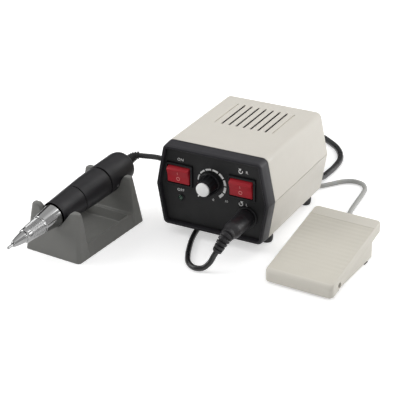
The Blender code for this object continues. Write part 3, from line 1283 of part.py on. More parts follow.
    bearing_bore = SPINDLE_RADIUS + FIT_GAP
    for label, at in (("front_bearing", FRONT_BEARING_AT), ("rear_bearing", MOTOR_BACK + FIT_GAP)):
        ring = [
            (BEARING_RADIUS, at), (BEARING_RADIUS, at + BEARING_WIDTH), (bearing_bore, at + BEARING_WIDTH),
            (bearing_bore, at),
        ]
        add(label, turned(ring, ROUND_SIDES, bored=True), "steel", frame)
    plate_front = MOTOR_BACK + FIT_GAP
    plate = [(motor_out, plate_front), (motor_out, plate_front + BRUSH_PLATE_WIDTH),
             (bearing_in, plate_front + BRUSH_PLATE_WIDTH), (bearing_in, plate_front)]
    add("brush_plate", turned(plate, ROUND_SIDES, bored=True), "board_green", frame)


def make_handpiece_boot(frame):
    """Ribbed boot at the rear of the handpiece, bent towards the box."""
    bpy.context.view_layer.update()
    inside = REAR_SLEEVE_BACK - SLEEVE_REAR_WALL - FIT_GAP
    place = frame.matrix_world
    heading = place.to_3x3() @ Vector((0, 0, 1))
    stations = [
        (BOOT_COLLAR_RADIUS, inside - BOOT_COLLAR_LENGTH), (BOOT_COLLAR_RADIUS, inside),
        (BOOT_NECK_RADIUS, inside), (BOOT_NECK_RADIUS, REAR_SLEEVE_BACK + FIT_GAP),
        (BOOT_TAIL_RADIUS, REAR_SLEEVE_BACK + FIT_GAP),
    ]
    path = [place @ Vector((0, 0, along)) for _, along in stations]
    neck = place @ Vector((0, 0, REAR_SLEEVE_BACK + BOOT_COLLAR_LENGTH))
    bend = bent(neck, heading, BOOT_TIP, BOOT_TIP_HEADING, BOOT_RIB_RINGS)
    radii = ribbed_radii(BOOT_RIB_RINGS, BOOT_TAIL_RADIUS, BOOT_TIP_RADIUS, BOOT_RIB_DEPTH)
    loops = ring_run(path, [r for r, _ in stations], heading, SMALL_SIDES)
    loops += tube_loops(bend, radii, SMALL_SIDES)
    add("handpiece_relief", skin(loops), "rubber_black")


def cover_top(v):
    """Height of the cover's top at v."""
    return PEDAL_TOE_HEIGHT + PEDAL_SLOPE * v


def cover_ceiling(v):
    """Height of the cover's underside at v."""
    return cover_top(v) - PEDAL_SKIN


def skirt_bottom(v):
    """Height of the skirt's lower edge at v."""
    return PEDAL_SKIRT_TOE_Z + SKIRT_SLOPE * v


def base_top(v):
    """Height of the base's walls at v, under the cover when it is pressed."""
    return cover_ceiling(v) - BASE_TOP_CLEAR - max(0.0, v - PEDAL_HINGE_V) * PRESS_SLOPE


def plan_loop(inset, toe, heel, height_at):
    """Rounded rectangle in plan whose height follows a function of v."""
    corners = [(inset, toe), (PEDAL_WIDTH - inset, toe), (PEDAL_WIDTH - inset, heel), (inset, heel)]
    radius = max(PEDAL_CORNER_RADIUS - inset, PEDAL_CORNER_RADIUS / 3)
    return [(u, v, height_at(v)) for u, v in rounded(corners, [radius] * 4)]


def make_pedal_cover(frame):
    """Rocking cover: skirted lid with a ribbed tread let into its top."""
    axis = empty("pedal_cover_axis", (0, PEDAL_HINGE_V, PEDAL_HINGE_Z), parent=frame)
    edge, wall, long = PEDAL_EDGE_BEVEL, PEDAL_SKIN, PEDAL_LENGTH
    loops = [
        plan_loop(edge, edge, long - edge, cover_top),
        plan_loop(0, 0, long, lambda v: cover_top(v) - edge),
        plan_loop(0, 0, long, skirt_bottom),
        plan_loop(wall, wall, long - wall, skirt_bottom),
        plan_loop(wall, wall, long - wall, cover_ceiling),
    ]
    loops = [[(u, v - PEDAL_HINGE_V, z - PEDAL_HINGE_Z) for u, v, z in loop] for loop in loops]
    cover = add("pedal_cover", skin(loops), "ivory_plastic", axis)
    slope = Matrix.Rotation(math.atan(PEDAL_SLOPE), 3, "X")
    pitch = (TREAD_HEEL_V - TREAD_TOE_V) / TREAD_RIBS
    teeth = []
    for rib in range(TREAD_RIBS):
        at = TREAD_TOE_V + rib * pitch
        teeth += [(at, -TREAD_GROOVE), (at + pitch / 2, TREAD_RIB_HEIGHT - TREAD_GROOVE)]
    teeth += [(TREAD_HEEL_V, -TREAD_GROOVE), (TREAD_HEEL_V, CUT_OVERRUN), (TREAD_TOE_V, CUT_OVERRUN)]
    sides = (TREAD_SIDE_MARGIN, PEDAL_WIDTH - TREAD_SIDE_MARGIN)
    tread = skin([[(u, v, z) for v, z in teeth] for u in sides])
    cut(cover, tread, (0, 0, PEDAL_TOE_HEIGHT), slope, frame)
    boss_top = cover_ceiling(PEDAL_SWITCH_V) + PEDAL_SKIN / 2
    boss = rod(PRESS_BOSS_RADIUS, plunger_top() + FIT_GAP, boss_top, SMALL_SIDES)
    fuse(cover, boss, (PEDAL_WIDTH / 2, PEDAL_SWITCH_V, 0), parent=frame)
    hole = rod(PEDAL_PIN_RADIUS + FIT_GAP, -CUT_OVERRUN, PEDAL_WIDTH + CUT_OVERRUN, SMALL_SIDES)
    cut(cover, hole, (0, PEDAL_HINGE_V, PEDAL_HINGE_Z), TO_RIGHT, frame)


def plunger_top():
    """Height of the plunger's head when the pedal is up."""
    travel = (PEDAL_SWITCH_V - PEDAL_HINGE_V) * PRESS_SLOPE
    return switch_top() + travel + PLUNGER_HEAD + 2 * FIT_GAP


def switch_top():
    """Height of the top of the micro switch."""
    return BASE_FLOOR_TOP + FIT_GAP + PEDAL_SWITCH_TOP_CLEAR


def make_pedal_base(frame):
    """Open tray under the cover, with holes for the hinge pin and the cord."""
    inner = BASE_INSET + BASE_WALL
    toe, heel = BASE_TOE_V, BASE_HEEL_V
    low = base_top(heel)
    hinge_top = base_top(PEDAL_HINGE_V)

    def wall_top(v):
        return hinge_top + (low - hinge_top) * (v - PEDAL_HINGE_V) / (heel - PEDAL_HINGE_V)

    loops = [
        plan_loop(BASE_INSET, toe, heel, lambda v: BASE_BOTTOM_Z),
        plan_loop(BASE_INSET, toe, heel, wall_top),
        plan_loop(inner, toe + BASE_WALL, heel - BASE_WALL, wall_top),
        plan_loop(inner, toe + BASE_WALL, heel - BASE_WALL, lambda v: BASE_FLOOR_TOP),
    ]
    base = add("pedal_base", skin(loops), "ivory_plastic", frame)
    hole = rod(PEDAL_PIN_RADIUS + FIT_GAP, -CUT_OVERRUN, PEDAL_WIDTH + CUT_OVERRUN, SMALL_SIDES)
    cut(base, hole, (0, PEDAL_HINGE_V, PEDAL_HINGE_Z), TO_RIGHT, frame)
    near, far = heel - BASE_WALL - CUT_OVERRUN, heel + CUT_OVERRUN
    cord_hole = rod(PEDAL_BOOT_NECK_RADIUS + FIT_GAP, near, far, SMALL_SIDES)
    cut(base, cord_hole, (PEDAL_CORD_U, 0, PEDAL_BOOT_Z), TO_REAR, frame)


def make_pedal_works(frame):
    """Hinge pin, micro switch, its plunger, the return spring, feet and the cord boot."""
    pin = rod(PEDAL_PIN_RADIUS, FIT_GAP, PEDAL_WIDTH - FIT_GAP, SMALL_SIDES)
    add("pedal_hinge_pin", pin, "steel", frame, (0, PEDAL_HINGE_V, PEDAL_HINGE_Z), TO_RIGHT)
    middle = PEDAL_WIDTH / 2
    half_wide, half_long = PEDAL_SWITCH_WIDTH / 2, PEDAL_SWITCH_LENGTH / 2
    bottom, top = BASE_FLOOR_TOP + FIT_GAP, switch_top()
    body = block((middle - half_wide, PEDAL_SWITCH_V - half_long, bottom),
                 (middle + half_wide, PEDAL_SWITCH_V + half_long, top))
    switch = add("pedal_switch", body, "switch_black", frame)
    well = rod(PLUNGER_RADIUS + FIT_GAP, bottom + PEDAL_SKIN / 3, top + CUT_OVERRUN, SMALL_SIDES)
    cut(switch, well, (middle, PEDAL_SWITCH_V, 0), parent=frame)
    plunger_axis = empty("switch_plunger_slide", (middle, PEDAL_SWITCH_V, 0), parent=frame)
    head = plunger_top()
    plunger = [
        (0, top - PLUNGER_SINK), (PLUNGER_RADIUS, top - PLUNGER_SINK), (PLUNGER_RADIUS, head - PLUNGER_HEAD),
        (PLUNGER_HEAD_RADIUS, head - PLUNGER_HEAD), (PLUNGER_HEAD_RADIUS, head), (0, head),
    ]
    add("switch_plunger", turned(plunger, SMALL_SIDES), "rocker_red", plunger_axis)
    spring_low = BASE_FLOOR_TOP + FIT_GAP + SPRING_WIRE / 2
    spring_high = cover_ceiling(SPRING_V - SPRING_RADIUS) - 2 * FIT_GAP - SPRING_WIRE / 2
    steps = SPRING_TURNS * SPRING_STEPS_PER_TURN
    wire = [
        (middle + SPRING_RADIUS * math.cos(2 * math.pi * SPRING_TURNS * k / steps),
         SPRING_V + SPRING_RADIUS * math.sin(2 * math.pi * SPRING_TURNS * k / steps),
         spring_low + (spring_high - spring_low) * k / steps)
        for k in range(steps + 1)
    ]
    add_tube("return_spring", wire, SPRING_WIRE, 1, "steel", frame)
    for label, v in (("toe", PEDAL_FOOT_TOE_V), ("heel", PEDAL_FOOT_HEEL_V)):
        low = (BASE_INSET, v - PEDAL_FOOT_WIDTH / 2, 0)
        high = (PEDAL_WIDTH - BASE_INSET, v + PEDAL_FOOT_WIDTH / 2, BASE_BOTTOM_Z - FIT_GAP)
        add(f"pedal_foot_{label}", block(low, high), "rubber_black", frame)
    wall_in, wall_out = BASE_HEEL_V - BASE_WALL - FIT_GAP, BASE_HEEL_V + FIT_GAP
    boot = [
        (PEDAL_BOOT_RADIUS, wall_in - BASE_WALL), (PEDAL_BOOT_RADIUS, wall_in),
        (PEDAL_BOOT_NECK_RADIUS, wall_in), (PEDAL_BOOT_NECK_RADIUS, wall_out),
    ]
    radii = ribbed_radii(PEDAL_BOOT_RINGS, PEDAL_BOOT_RADIUS, PEDAL_BOOT_TIP_RADIUS, PEDAL_BOOT_RIB)
    pitch = PEDAL_BOOT_LENGTH / (PEDAL_BOOT_RINGS - 1)
    boot += [(r, wall_out + pitch * k) for k, r in enumerate(radii)]
    boot = [(0, boot[0][1])] + boot + [(0, boot[-1][1])]
    place = (PEDAL_CORD_U, 0, PEDAL_BOOT_Z)
    add("pedal_relief", turned(boot, SMALL_SIDES), "cord_grey", frame, place, TO_REAR)


def add_tube(name, points, diameter, resolution, finish_name, parent=None):
    """Round tube with filled ends along a poly line."""
    curve = bpy.data.curves.new(name, "CURVE")
    curve.dimensions = "3D"
    curve.bevel_depth = diameter / 2
    curve.bevel_resolution = resolution
    curve.use_fill_caps = True
    spline = curve.splines.new("POLY")
    spline.points.add(len(points) - 1)
    for target, point in zip(spline.points, points):
        target.co = (*[float(c) for c in point], 1.0)
    tube = bpy.data.objects.new(name, curve)
    bpy.context.collection.objects.link(tube)
    tube.parent = parent
    curve.materials.append(finish(finish_name))
    return tube


class Coil:
    """Cord wound into a flat coil: it spirals in and out in layers, and climbs where it reverses."""

    def __init__(self, centre, diameter, mid_diameters, turns, layers, start_deg, sense):
        self.centre, self.diameter, self.turns, self.layers = centre, diameter, turns, layers
        self.pitch = diameter + COIL_TURN_GAP
        self.mid_radius = mid_diameters * diameter / 2
        self.start, self.sense = math.radians(start_deg), sense
        self.floor = diameter / 2 + CORD_FLOOR_GAP

    def point(self, turn):
        """Place of the centre line after some turns."""
        per_layer = self.turns / self.layers
        swing = turn / per_layer
        down = swing % 2 if swing % 2 <= 1 else 2 - swing % 2
        radius = self.mid_radius + self.pitch * per_layer * (0.5 - down)
        height = self.floor
        for step in range(1, self.layers):
            rise = min(max((turn - step * per_layer) * 2 + 0.5, 0.0), 1.0)
            height += self.pitch * rise * rise * (3 - 2 * rise)
        angle = self.start + self.sense * 2 * math.pi * turn
        x = self.centre[0] + radius * math.cos(angle)
        y = self.centre[1] + radius * math.sin(angle)
        return np.array((x, y, height))

    def heading(self, turn):
        """Level direction of the cord after some turns."""
        angle = self.start + self.sense * 2 * math.pi * turn
        return np.array((-math.sin(angle), math.cos(angle), 0)) * self.sense

    def points(self):
        """Centre line with a straight run of one diameter at each end."""
        count = round(self.turns * COIL_POINTS_PER_TURN)
        winding = [self.point(self.turns * k / count) for k in range(count + 1)]
        entry = winding[0] - self.heading(0) * self.diameter
        leave = winding[-1] + self.heading(self.turns) * self.diameter
        return [entry] + winding + [leave]

    def least_gap(self):
        """Smallest clear distance between two stretches a third of a turn or more apart."""
        samples = GAP_CHECK_SAMPLES
        fine = np.array([self.point(self.turns * k / samples) for k in range(samples + 1)])
        apart = max(1, round(samples / self.turns / 3))
        least = min(
            np.linalg.norm(fine[k + apart:] - fine[k], axis=1).min() for k in range(len(fine) - apart)
        )
        return least - self.diameter


HANDPIECE_COIL = Coil(**COILS["handpiece"])
MAINS_COIL = Coil(**COILS["mains"])
PEDAL_COIL = Coil(**COILS["pedal"])


def free_stretch(start, start_heading, route, end, end_heading, diameter):
    """Smooth points of a cord that leaves and arrives straight, square to its neighbours."""
    ahead = np.array(Vector(start_heading).normalized())
    behind = np.array(Vector(end_heading).normalized())
    first = np.array(start) + ahead * FIT_GAP
    last = np.array(end) - behind * FIT_GAP
    between = [np.array(point) for point in route]
    given = [first, first + ahead * diameter] + between + [last - behind * diameter, last]
    spans = max(CORD_LEAST_SPANS, round(cord_length(given) / (diameter * CORD_STEP_DIAMETERS)))
    return np.vstack([first, smooth_path(given[1:-1], spans, first, last), last])


def ends_of(coil):
    """Start point, start heading, end point and end heading of a coil's tube."""
    points = coil.points()
    return points[0], coil.heading(0), points[-1], coil.heading(coil.turns)


def cord_length(points):
    """Length along a row of points."""
    points = np.array(points)
    return float(np.linalg.norm(np.diff(points, axis=0), axis=1).sum())


def make_cords(pedal_frame):
    """The three cords, each from its exit along the table to its coil and its plug."""
    start, ahead, end, leave = ends_of(HANDPIECE_COIL)
    loop = free_stretch(PLUG_TIP, PLUG_TIP_HEADING, LOOP_ROUTE, start, ahead, HANDPIECE_CORD_DIAMETER)
    into_boot = [-c for c in BOOT_TIP_HEADING]
    rise = free_stretch(end, leave, HANDPIECE_ROUTE, BOOT_TIP, into_boot, HANDPIECE_CORD_DIAMETER)
    add_tube("handpiece_cord_front", loop, HANDPIECE_CORD_DIAMETER, 2, "cord_black")
    add_tube("handpiece_cord_coil", HANDPIECE_COIL.points(), HANDPIECE_CORD_DIAMETER, 1, "cord_black")
    add_tube("handpiece_cord", rise, HANDPIECE_CORD_DIAMETER, 2, "cord_black")

    start, ahead, end, leave = ends_of(MAINS_COIL)
    mains = free_stretch(GLAND_TIP, GLAND_TIP_HEADING, MAINS_ROUTE, start, ahead, MAINS_CORD_DIAMETER)
    add_tube("mains_cord", mains, MAINS_CORD_DIAMETER, 2, "cord_black")
    tail = free_stretch(end - leave * FIT_GAP, leave, MAINS_TAIL_ROUTE, MAINS_PLUG_TAIL, (1, 0, 0),
                        MAINS_CORD_DIAMETER)
    mains_coil = MAINS_COIL.points()[:-1] + list(tail)
    add_tube("mains_cord_coil", mains_coil, MAINS_CORD_DIAMETER, 1, "cord_black")
    make_mains_plug()

    place = pedal_frame.matrix_world
    boot_end = place @ Vector((PEDAL_CORD_U, BASE_HEEL_V + FIT_GAP + PEDAL_BOOT_LENGTH, PEDAL_BOOT_Z))
    boot_heading = place.to_3x3() @ Vector((0, 1, 0))
    start, ahead, end, leave = ends_of(PEDAL_COIL)
    pedal = free_stretch(boot_end, boot_heading, PEDAL_ROUTE, start, ahead, PEDAL_CORD_DIAMETER)
    add_tube("pedal_cord", pedal, PEDAL_CORD_DIAMETER, 2, "cord_grey")
    plug_end = (JACK_X, BOX_DEPTH - BOX_WALL + JACK_NUT_THICKNESS + FIT_GAP + JACK_PLUG_LENGTH
                + JACK_PLUG_TAIL_LENGTH, JACK_Z)
    tail = free_stretch(end - leave * FIT_GAP, leave, JACK_ROUTE, plug_end, (0, -1, 0), PEDAL_CORD_DIAMETER)
    pedal_coil = PEDAL_COIL.points()[:-1] + list(tail)
    add_tube("pedal_cord_coil", pedal_coil, PEDAL_CORD_DIAMETER, 1, "cord_grey")
    make_jack_plug()

    lengths = {
        "handpiece": cord_length(loop) + cord_length(HANDPIECE_COIL.points()) + cord_length(rise),
        "mains": cord_length(mains) + cord_length(mains_coil),
        "pedal": cord_length(pedal) + cord_length(pedal_coil),
    }
    for label, length in lengths.items():
        print(f"{label} cord: {length:.3f} m")
    for label, coil in (("handpiece", HANDPIECE_COIL), ("mains", MAINS_COIL), ("pedal", PEDAL_COIL)):
        print(f"{label} coil: least gap to itself {coil.least_gap() * 1000:.2f} mm")


def make_mains_plug():
    """Flat two-pin plug lying on the coil of the mains cord."""
    half_wide, half_thick = MAINS_PLUG_WIDTH / 2, MAINS_PLUG_THICKNESS / 2
    x, y, z = MAINS_PLUG_TAIL
    neck = MAINS_CORD_DIAMETER / 2 * 4 / 3

    def section(at, wide, thick):
        corners = [(-wide, -thick), (wide, -thick), (wide, thick), (-wide, thick)]
        return [(x + at, y + v, z + w) for v, w in rounded(corners, [min(thick, wide) / 2] * 4)]

    loops = [section(0, neck, neck), section(MAINS_PLUG_LENGTH / 3, neck, neck),
             section(MAINS_PLUG_LENGTH / 2, half_wide * 4 / 5, half_thick),
             section(MAINS_PLUG_LENGTH, half_wide, half_thick)]
    plug = add("mains_plug", skin(loops), "rubber_black")
    for side in (-1, 1):
        tip = MAINS_PLUG_LENGTH + MAINS_PIN_LENGTH
        pin = rod(MAINS_PIN_RADIUS, MAINS_PLUG_LENGTH - CUT_OVERRUN, tip, PIN_SIDES)
        fuse(plug, pin, (x, y + side * MAINS_PIN_SPACING / 2, z), TO_RIGHT)


def make_jack_plug():
    """Straight jack plug of the pedal cord, pushed into the rear jack."""
    face = BOX_DEPTH - BOX_WALL + JACK_NUT_THICKNESS + FIT_GAP
    tail = face + JACK_PLUG_LENGTH
    end = tail + JACK_PLUG_TAIL_LENGTH
    profile = [
        (0, face - JACK_PLUG_TIP_LENGTH), (JACK_PLUG_TIP_RADIUS, face - JACK_PLUG_TIP_LENGTH),
        (JACK_PLUG_TIP_RADIUS, face), (JACK_PLUG_RADIUS, face), (JACK_PLUG_RADIUS, tail),
        (JACK_PLUG_TAIL_RADIUS, tail), (JACK_PLUG_TAIL_RADIUS, end), (0, end),
    ]
    add("pedal_jack_plug", turned(profile, SMALL_SIDES), "rubber_black",
        location=(JACK_X, 0, JACK_Z), turn=TO_REAR)


def centre_on_footprint():
    """Moves the whole set so that the middle of its own footprint is at the origin."""
    bpy.context.view_layer.update()
    depsgraph = bpy.context.evaluated_depsgraph_get()
    low, high = np.full(3, np.inf), np.full(3, -np.inf)
    for item in bpy.context.scene.objects:
        if item.type != "MESH" or item.name in ON_THE_CORDS:
            continue
        mesh = item.evaluated_get(depsgraph).to_mesh()
        points = np.array([item.matrix_world @ vertex.co for vertex in mesh.vertices])
        low, high = np.minimum(low, points.min(axis=0)), np.maximum(high, points.max(axis=0))
        item.evaluated_get(depsgraph).to_mesh_clear()
    shift = Vector(((low[0] + high[0]) / 2, (low[1] + high[1]) / 2, 0))
    for item in bpy.context.scene.objects:
        if item.parent is None:
            item.location -= shift
    bpy.context.view_layer.update()
    print("set moved by", [round(float(-c), 6) for c in shift])


def main():
    """Builds the set."""
    for item in list(bpy.data.objects):
        bpy.data.objects.remove(item)
    make_top_shell()
    make_bottom_shell()
    make_box_feet()
    make_bezel()
    make_front_panel()
    for label, x in SWITCHES:
        make_switch(label, x)
    make_speed_control()
    make_power_lamp()
    make_output_socket()
    make_output_plug()
    make_rear_panel()
    make_rear_fittings()
    make_transformer()
    make_circuit_board()
    handpiece_frame = make_cradle()
    make_handpiece(handpiece_frame)
    make_handpiece_boot(handpiece_frame)
    pedal_frame = empty("pedal_frame", (PEDAL_CORNER_X, PEDAL_CORNER_Y, 0),
                        Matrix.Rotation(math.radians(PEDAL_YAW_DEG), 3, "Z"))
    make_pedal_base(pedal_frame)
    make_pedal_cover(pedal_frame)
    make_pedal_works(pedal_frame)
    make_cords(pedal_frame)
    centre_on_footprint()


main()
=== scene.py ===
"""Looks of an electric nail drill set: control box, handpiece in its cradle, and foot pedal.

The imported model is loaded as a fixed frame. Each sub-assembly is a class that holds its sizes,
works its surfaces out with numpy in that frame, and dresses them. Metres, +Z up; the box faces -Y.
"""

import json
import logging
import math
from collections.abc import Callable, Sequence
from dataclasses import dataclass, field
from enum import Enum
from typing import ClassVar

import bmesh
import bpy
import numpy as np
from mathutils import Matrix, Vector

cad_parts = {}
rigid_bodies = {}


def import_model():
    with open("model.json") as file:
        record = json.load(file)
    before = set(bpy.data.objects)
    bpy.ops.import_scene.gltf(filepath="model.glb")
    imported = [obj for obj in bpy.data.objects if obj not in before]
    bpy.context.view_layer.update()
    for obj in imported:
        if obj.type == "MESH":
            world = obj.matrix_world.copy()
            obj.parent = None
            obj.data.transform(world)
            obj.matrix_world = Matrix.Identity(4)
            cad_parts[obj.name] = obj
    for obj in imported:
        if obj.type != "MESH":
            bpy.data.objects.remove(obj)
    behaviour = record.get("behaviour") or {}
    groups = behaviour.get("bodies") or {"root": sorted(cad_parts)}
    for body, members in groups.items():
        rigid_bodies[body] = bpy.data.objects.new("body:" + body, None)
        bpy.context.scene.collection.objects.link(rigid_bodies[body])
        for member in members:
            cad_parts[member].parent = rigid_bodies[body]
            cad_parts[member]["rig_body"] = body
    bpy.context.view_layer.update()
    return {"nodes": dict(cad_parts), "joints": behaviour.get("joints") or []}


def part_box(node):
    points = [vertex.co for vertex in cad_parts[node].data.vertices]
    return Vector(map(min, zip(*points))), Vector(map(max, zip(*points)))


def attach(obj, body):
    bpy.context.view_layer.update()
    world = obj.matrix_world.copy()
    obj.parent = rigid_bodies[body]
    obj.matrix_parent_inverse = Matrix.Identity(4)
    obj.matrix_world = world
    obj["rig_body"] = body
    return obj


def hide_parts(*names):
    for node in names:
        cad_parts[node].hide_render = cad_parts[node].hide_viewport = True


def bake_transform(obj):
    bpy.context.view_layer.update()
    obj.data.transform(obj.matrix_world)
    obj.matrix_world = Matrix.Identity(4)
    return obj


log = logging.getLogger("nail_drill")

# Points closer than MERGE are one point, a cutter overruns what it cuts by OVERRUN, pieces that sit
# close stand FIT_GAP apart, and a bent tail keeps its direction for TAIL_REACH of its span.
MERGE = 2e-6
OVERRUN = 0.002
FIT_GAP = 0.0003
TAIL_REACH = 0.38
SMOOTH_ANGLE = math.radians(32)
COAT_ROUGHNESS = 0.12
TO_FRONT = Matrix.Rotation(math.radians(90), 4, "X")
TO_REAR = Matrix.Rotation(math.radians(-90), 4, "X")
TO_RIGHT = Matrix.Rotation(math.radians(90), 4, "Y")

FORWARD = np.array([0.0, -1.0, 0.0])
REARWARD = -FORWARD

Mesh = bpy.types.Mesh
Piece = bpy.types.Object
Socket = bpy.types.NodeSocket
Tree = bpy.types.NodeTree
Points = np.ndarray
Spot = tuple[float, float, float]
Route = tuple[Spot, ...]


def math_node(tree: Tree, operation: str, first: Socket,
              second: Socket | float) -> Socket:
    """Adds a math node.

    Args:
        tree: Node tree that gets it.
        operation: What it works out.
        first: Socket that it reads.
        second: Second socket, or a number.

    Returns:
        Its output.
    """
    node = tree.nodes.new("ShaderNodeMath")
    node.operation = operation
    tree.links.new(first, node.inputs[0])
    if isinstance(second, float):
        node.inputs[1].default_value = second
    else:
        tree.links.new(second, node.inputs[1])
    return node.outputs[0]


def map_range(tree: Tree, value: Socket, source: tuple[float, float],
              target: tuple[float, float], clamp: bool = True) -> Socket:
    """Adds a node that carries a value from one range to another.

    Args:
        tree: Node tree that gets it.
        value: Socket that it reads.
        source: Range of the value.
        target: Range of the result.
        clamp: Whether the result stays within its range.

    Returns:
        Its output.
    """
    node = tree.nodes.new("ShaderNodeMapRange")
    node.clamp = clamp
    for name, number in zip(("From Min", "From Max", "To Min", "To Max"), (*source, *target)):
        node.inputs[name].default_value = number
    tree.links.new(value, node.inputs["Value"])
    return node.outputs["Result"]


class Grain(Enum):
    """How a finish's fine relief runs over the surface: its scale along X, Y and Z."""

    MOULDED = (1.0, 1.0, 1.0)
    STACKED = (0.05, 1.0, 0.05)
    WOUND = (0.05, 0.05, 1.0)


@dataclass(frozen=True)
class Finish:
    """One surface finish: colour, gloss, fine relief, and how uneven these are."""

    name: str
    colour: Spot
    roughness: float
    metallic: float = 0.0
    coat: float = 0.0
    specular: float = 0.5
    grain: Grain = Grain.MOULDED
    relief: float = 0.00001
    relief_size: float = 0.0004
    mottle: float = 0.04
    smudge: float = 0.06
    mottle_size: float = 0.018
    smudge_size: float = 0.007

    def material(self) -> bpy.types.Material:
        """Builds the node material once.

        The colour drifts between two shades with a broad noise, the roughness with a finer one,
        and a third noise, stretched as the grain says, is the height that the bump reads.

        Returns:
            The material of this finish.
        """
        name = f"finish_{self.name}"
        known = bpy.data.materials.get(name)
        if known is not None:
            return known
        made = bpy.data.materials.new(name)
        made.use_nodes = True
        tree = made.node_tree
        nodes, links = tree.nodes, tree.links
        shader = nodes["Principled BSDF"]
        shader.inputs["Metallic"].default_value = self.metallic
        shader.inputs["Coat Weight"].default_value = self.coat
        shader.inputs["Specular IOR Level"].default_value = self.specular
        shader.inputs["Coat Roughness"].default_value = COAT_ROUGHNESS
        place = nodes.new("ShaderNodeTexCoord").outputs["Object"]

        def noise(size: float, detail: float,
                  stretch: Sequence[float] = Grain.MOULDED.value) -> Socket:
            """Noise of one feature size on object coordinates, as a share from 0 to 1."""
            turn = nodes.new("ShaderNodeMapping")
            turn.inputs["Scale"].default_value = stretch
            links.new(place, turn.inputs["Vector"])
            texture = nodes.new("ShaderNodeTexNoise")
            texture.inputs["Scale"].default_value = 1.0 / size
            texture.inputs["Detail"].default_value = detail
            links.new(turn.outputs["Vector"], texture.inputs["Vector"])
            return texture.outputs["Fac"]

        # The colour sockets of a mix node are its inputs 6 and 7 and its output 2.
        tint = nodes.new("ShaderNodeMix")
        tint.data_type = "RGBA"
        for socket, shift in ((tint.inputs[6], -self.mottle), (tint.inputs[7], self.mottle)):
            socket.default_value = (*[min(1.0, c * (1 + shift)) for c in self.colour], 1.0)
        links.new(noise(self.mottle_size, 3.0), tint.inputs[0])
        links.new(tint.outputs[2], shader.inputs["Base Color"])

        span = (max(0.02, self.roughness - self.smudge), min(1.0, self.roughness + self.smudge))
        worn = map_range(tree, noise(self.smudge_size, 4.0), (0.3, 0.7), span)
        links.new(worn, shader.inputs["Roughness"])

        bump = nodes.new("ShaderNodeBump")
        bump.inputs["Strength"].default_value = 1.0
        bump.inputs["Distance"].default_value = self.relief
        links.new(noise(self.relief_size, 2.0, self.grain.value), bump.inputs["Height"])
        links.new(bump.outputs["Normal"], shader.inputs["Normal"])
        return made


IVORY = Finish("ivory_moulding", (0.66, 0.63, 0.57), 0.46, relief=0.000014,
               relief_size=0.00035, mottle=0.02)
PEDAL_IVORY = Finish("pedal_moulding", (0.69, 0.66, 0.59), 0.52,
                     relief=0.000016, relief_size=0.0004, mottle=0.02)
TREAD_IVORY = Finish("tread_moulding", (0.65, 0.62, 0.545), 0.60,
                     relief=0.00003, relief_size=0.0006, mottle=0.03)
CHARCOAL = Finish("charcoal_moulding", (0.025, 0.024, 0.028), 0.42, specular=0.25,
                  relief=0.000012, relief_size=0.0003, mottle=0.08)
PANEL = Finish("panel_film", (0.012, 0.012, 0.0125), 0.50, specular=0.25,
               relief=0.000006, relief_size=0.0002, mottle=0.08)
SWITCH = Finish("switch_moulding", (0.008, 0.008, 0.009), 0.38, specular=0.25, relief=0.000006, mottle=0.10)
KNOB = Finish("knob_moulding", (0.005, 0.005, 0.006), 0.36, specular=0.2, relief=0.000004, mottle=0.10)
ROCKER = Finish("rocker_red", (0.39, 0.018, 0.028), 0.38, specular=0.2, relief=0.000004, mottle=0.05)
ROCKER_MARK = Finish("rocker_mark", (0.72, 0.24, 0.23), 0.40, relief=0.000003)
CAP = Finish("cap_white", (0.95, 0.95, 0.94), 0.38, relief=0.000004, mottle=0.015)
PRINT = Finish("panel_print", (0.80, 0.80, 0.79), 0.55, relief=0.000004, mottle=0.05, mottle_size=0.002)
LAMP = Finish("lamp_green", (0.002, 0.034, 0.017), 0.24, coat=0.1,
              relief=0.000002, mottle=0.25, mottle_size=0.002)
CRADLE = Finish("cradle_grey", (0.182, 0.182, 0.172), 0.50, specular=0.4,
                relief=0.000016, relief_size=0.0005, mottle=0.05)
HANDPIECE = Finish("handpiece_black", (0.0100, 0.0093, 0.0113), 0.46, specular=0.3,
                   relief=0.000008, relief_size=0.0003, mottle=0.10)
CHROME = Finish("chrome", (0.32, 0.32, 0.32), 0.10, 1.0, relief=0.000002,
                relief_size=0.001, mottle=0.02, smudge=0.03)
STEEL = Finish("turned_steel", (0.24, 0.24, 0.245), 0.26, 1.0,
               relief=0.000004, relief_size=0.0006, smudge=0.08)
CORE = Finish("core_laminations", (0.30, 0.31, 0.33), 0.45, 1.0, grain=Grain.STACKED, relief=0.00006)
COPPER = Finish("copper_wire", (0.58, 0.25, 0.10), 0.34, 1.0, grain=Grain.WOUND,
                relief=0.0001, relief_size=0.0005)
MAGNET = Finish("motor_can_dark", (0.050, 0.050, 0.055), 0.46, 0.6, relief=0.00001)
BOARD = Finish("board_green", (0.022, 0.13, 0.055), 0.42, relief=0.00003,
               relief_size=0.0012, mottle=0.2, mottle_size=0.004)
RUBBER = Finish("rubber_black", (0.017, 0.017, 0.018), 0.62, relief=0.00002, relief_size=0.0005, mottle=0.1)
PLUG = Finish("plug_moulding", (0.015, 0.014, 0.016), 0.45, specular=0.35,
              relief=0.00001, relief_size=0.0004, mottle=0.1)
CORD_BLACK = Finish("cord_black", (0.013, 0.013, 0.014), 0.30,
                    relief=0.00001, relief_size=0.0006, mottle=0.1)
CORD_GREY = Finish("cord_grey", (0.40, 0.40, 0.385), 0.42, relief=0.00001, relief_size=0.0006, mottle=0.05)
TIE = Finish("tie_black", (0.020, 0.020, 0.021), 0.55, relief=0.00002, relief_size=0.0005)


def unit(vectors: Points) -> Points:
    """Vectors of length one, or zero where there was no length."""
    length = np.linalg.norm(vectors, axis=-1, keepdims=True)
    return vectors / np.maximum(length, 1e-12)


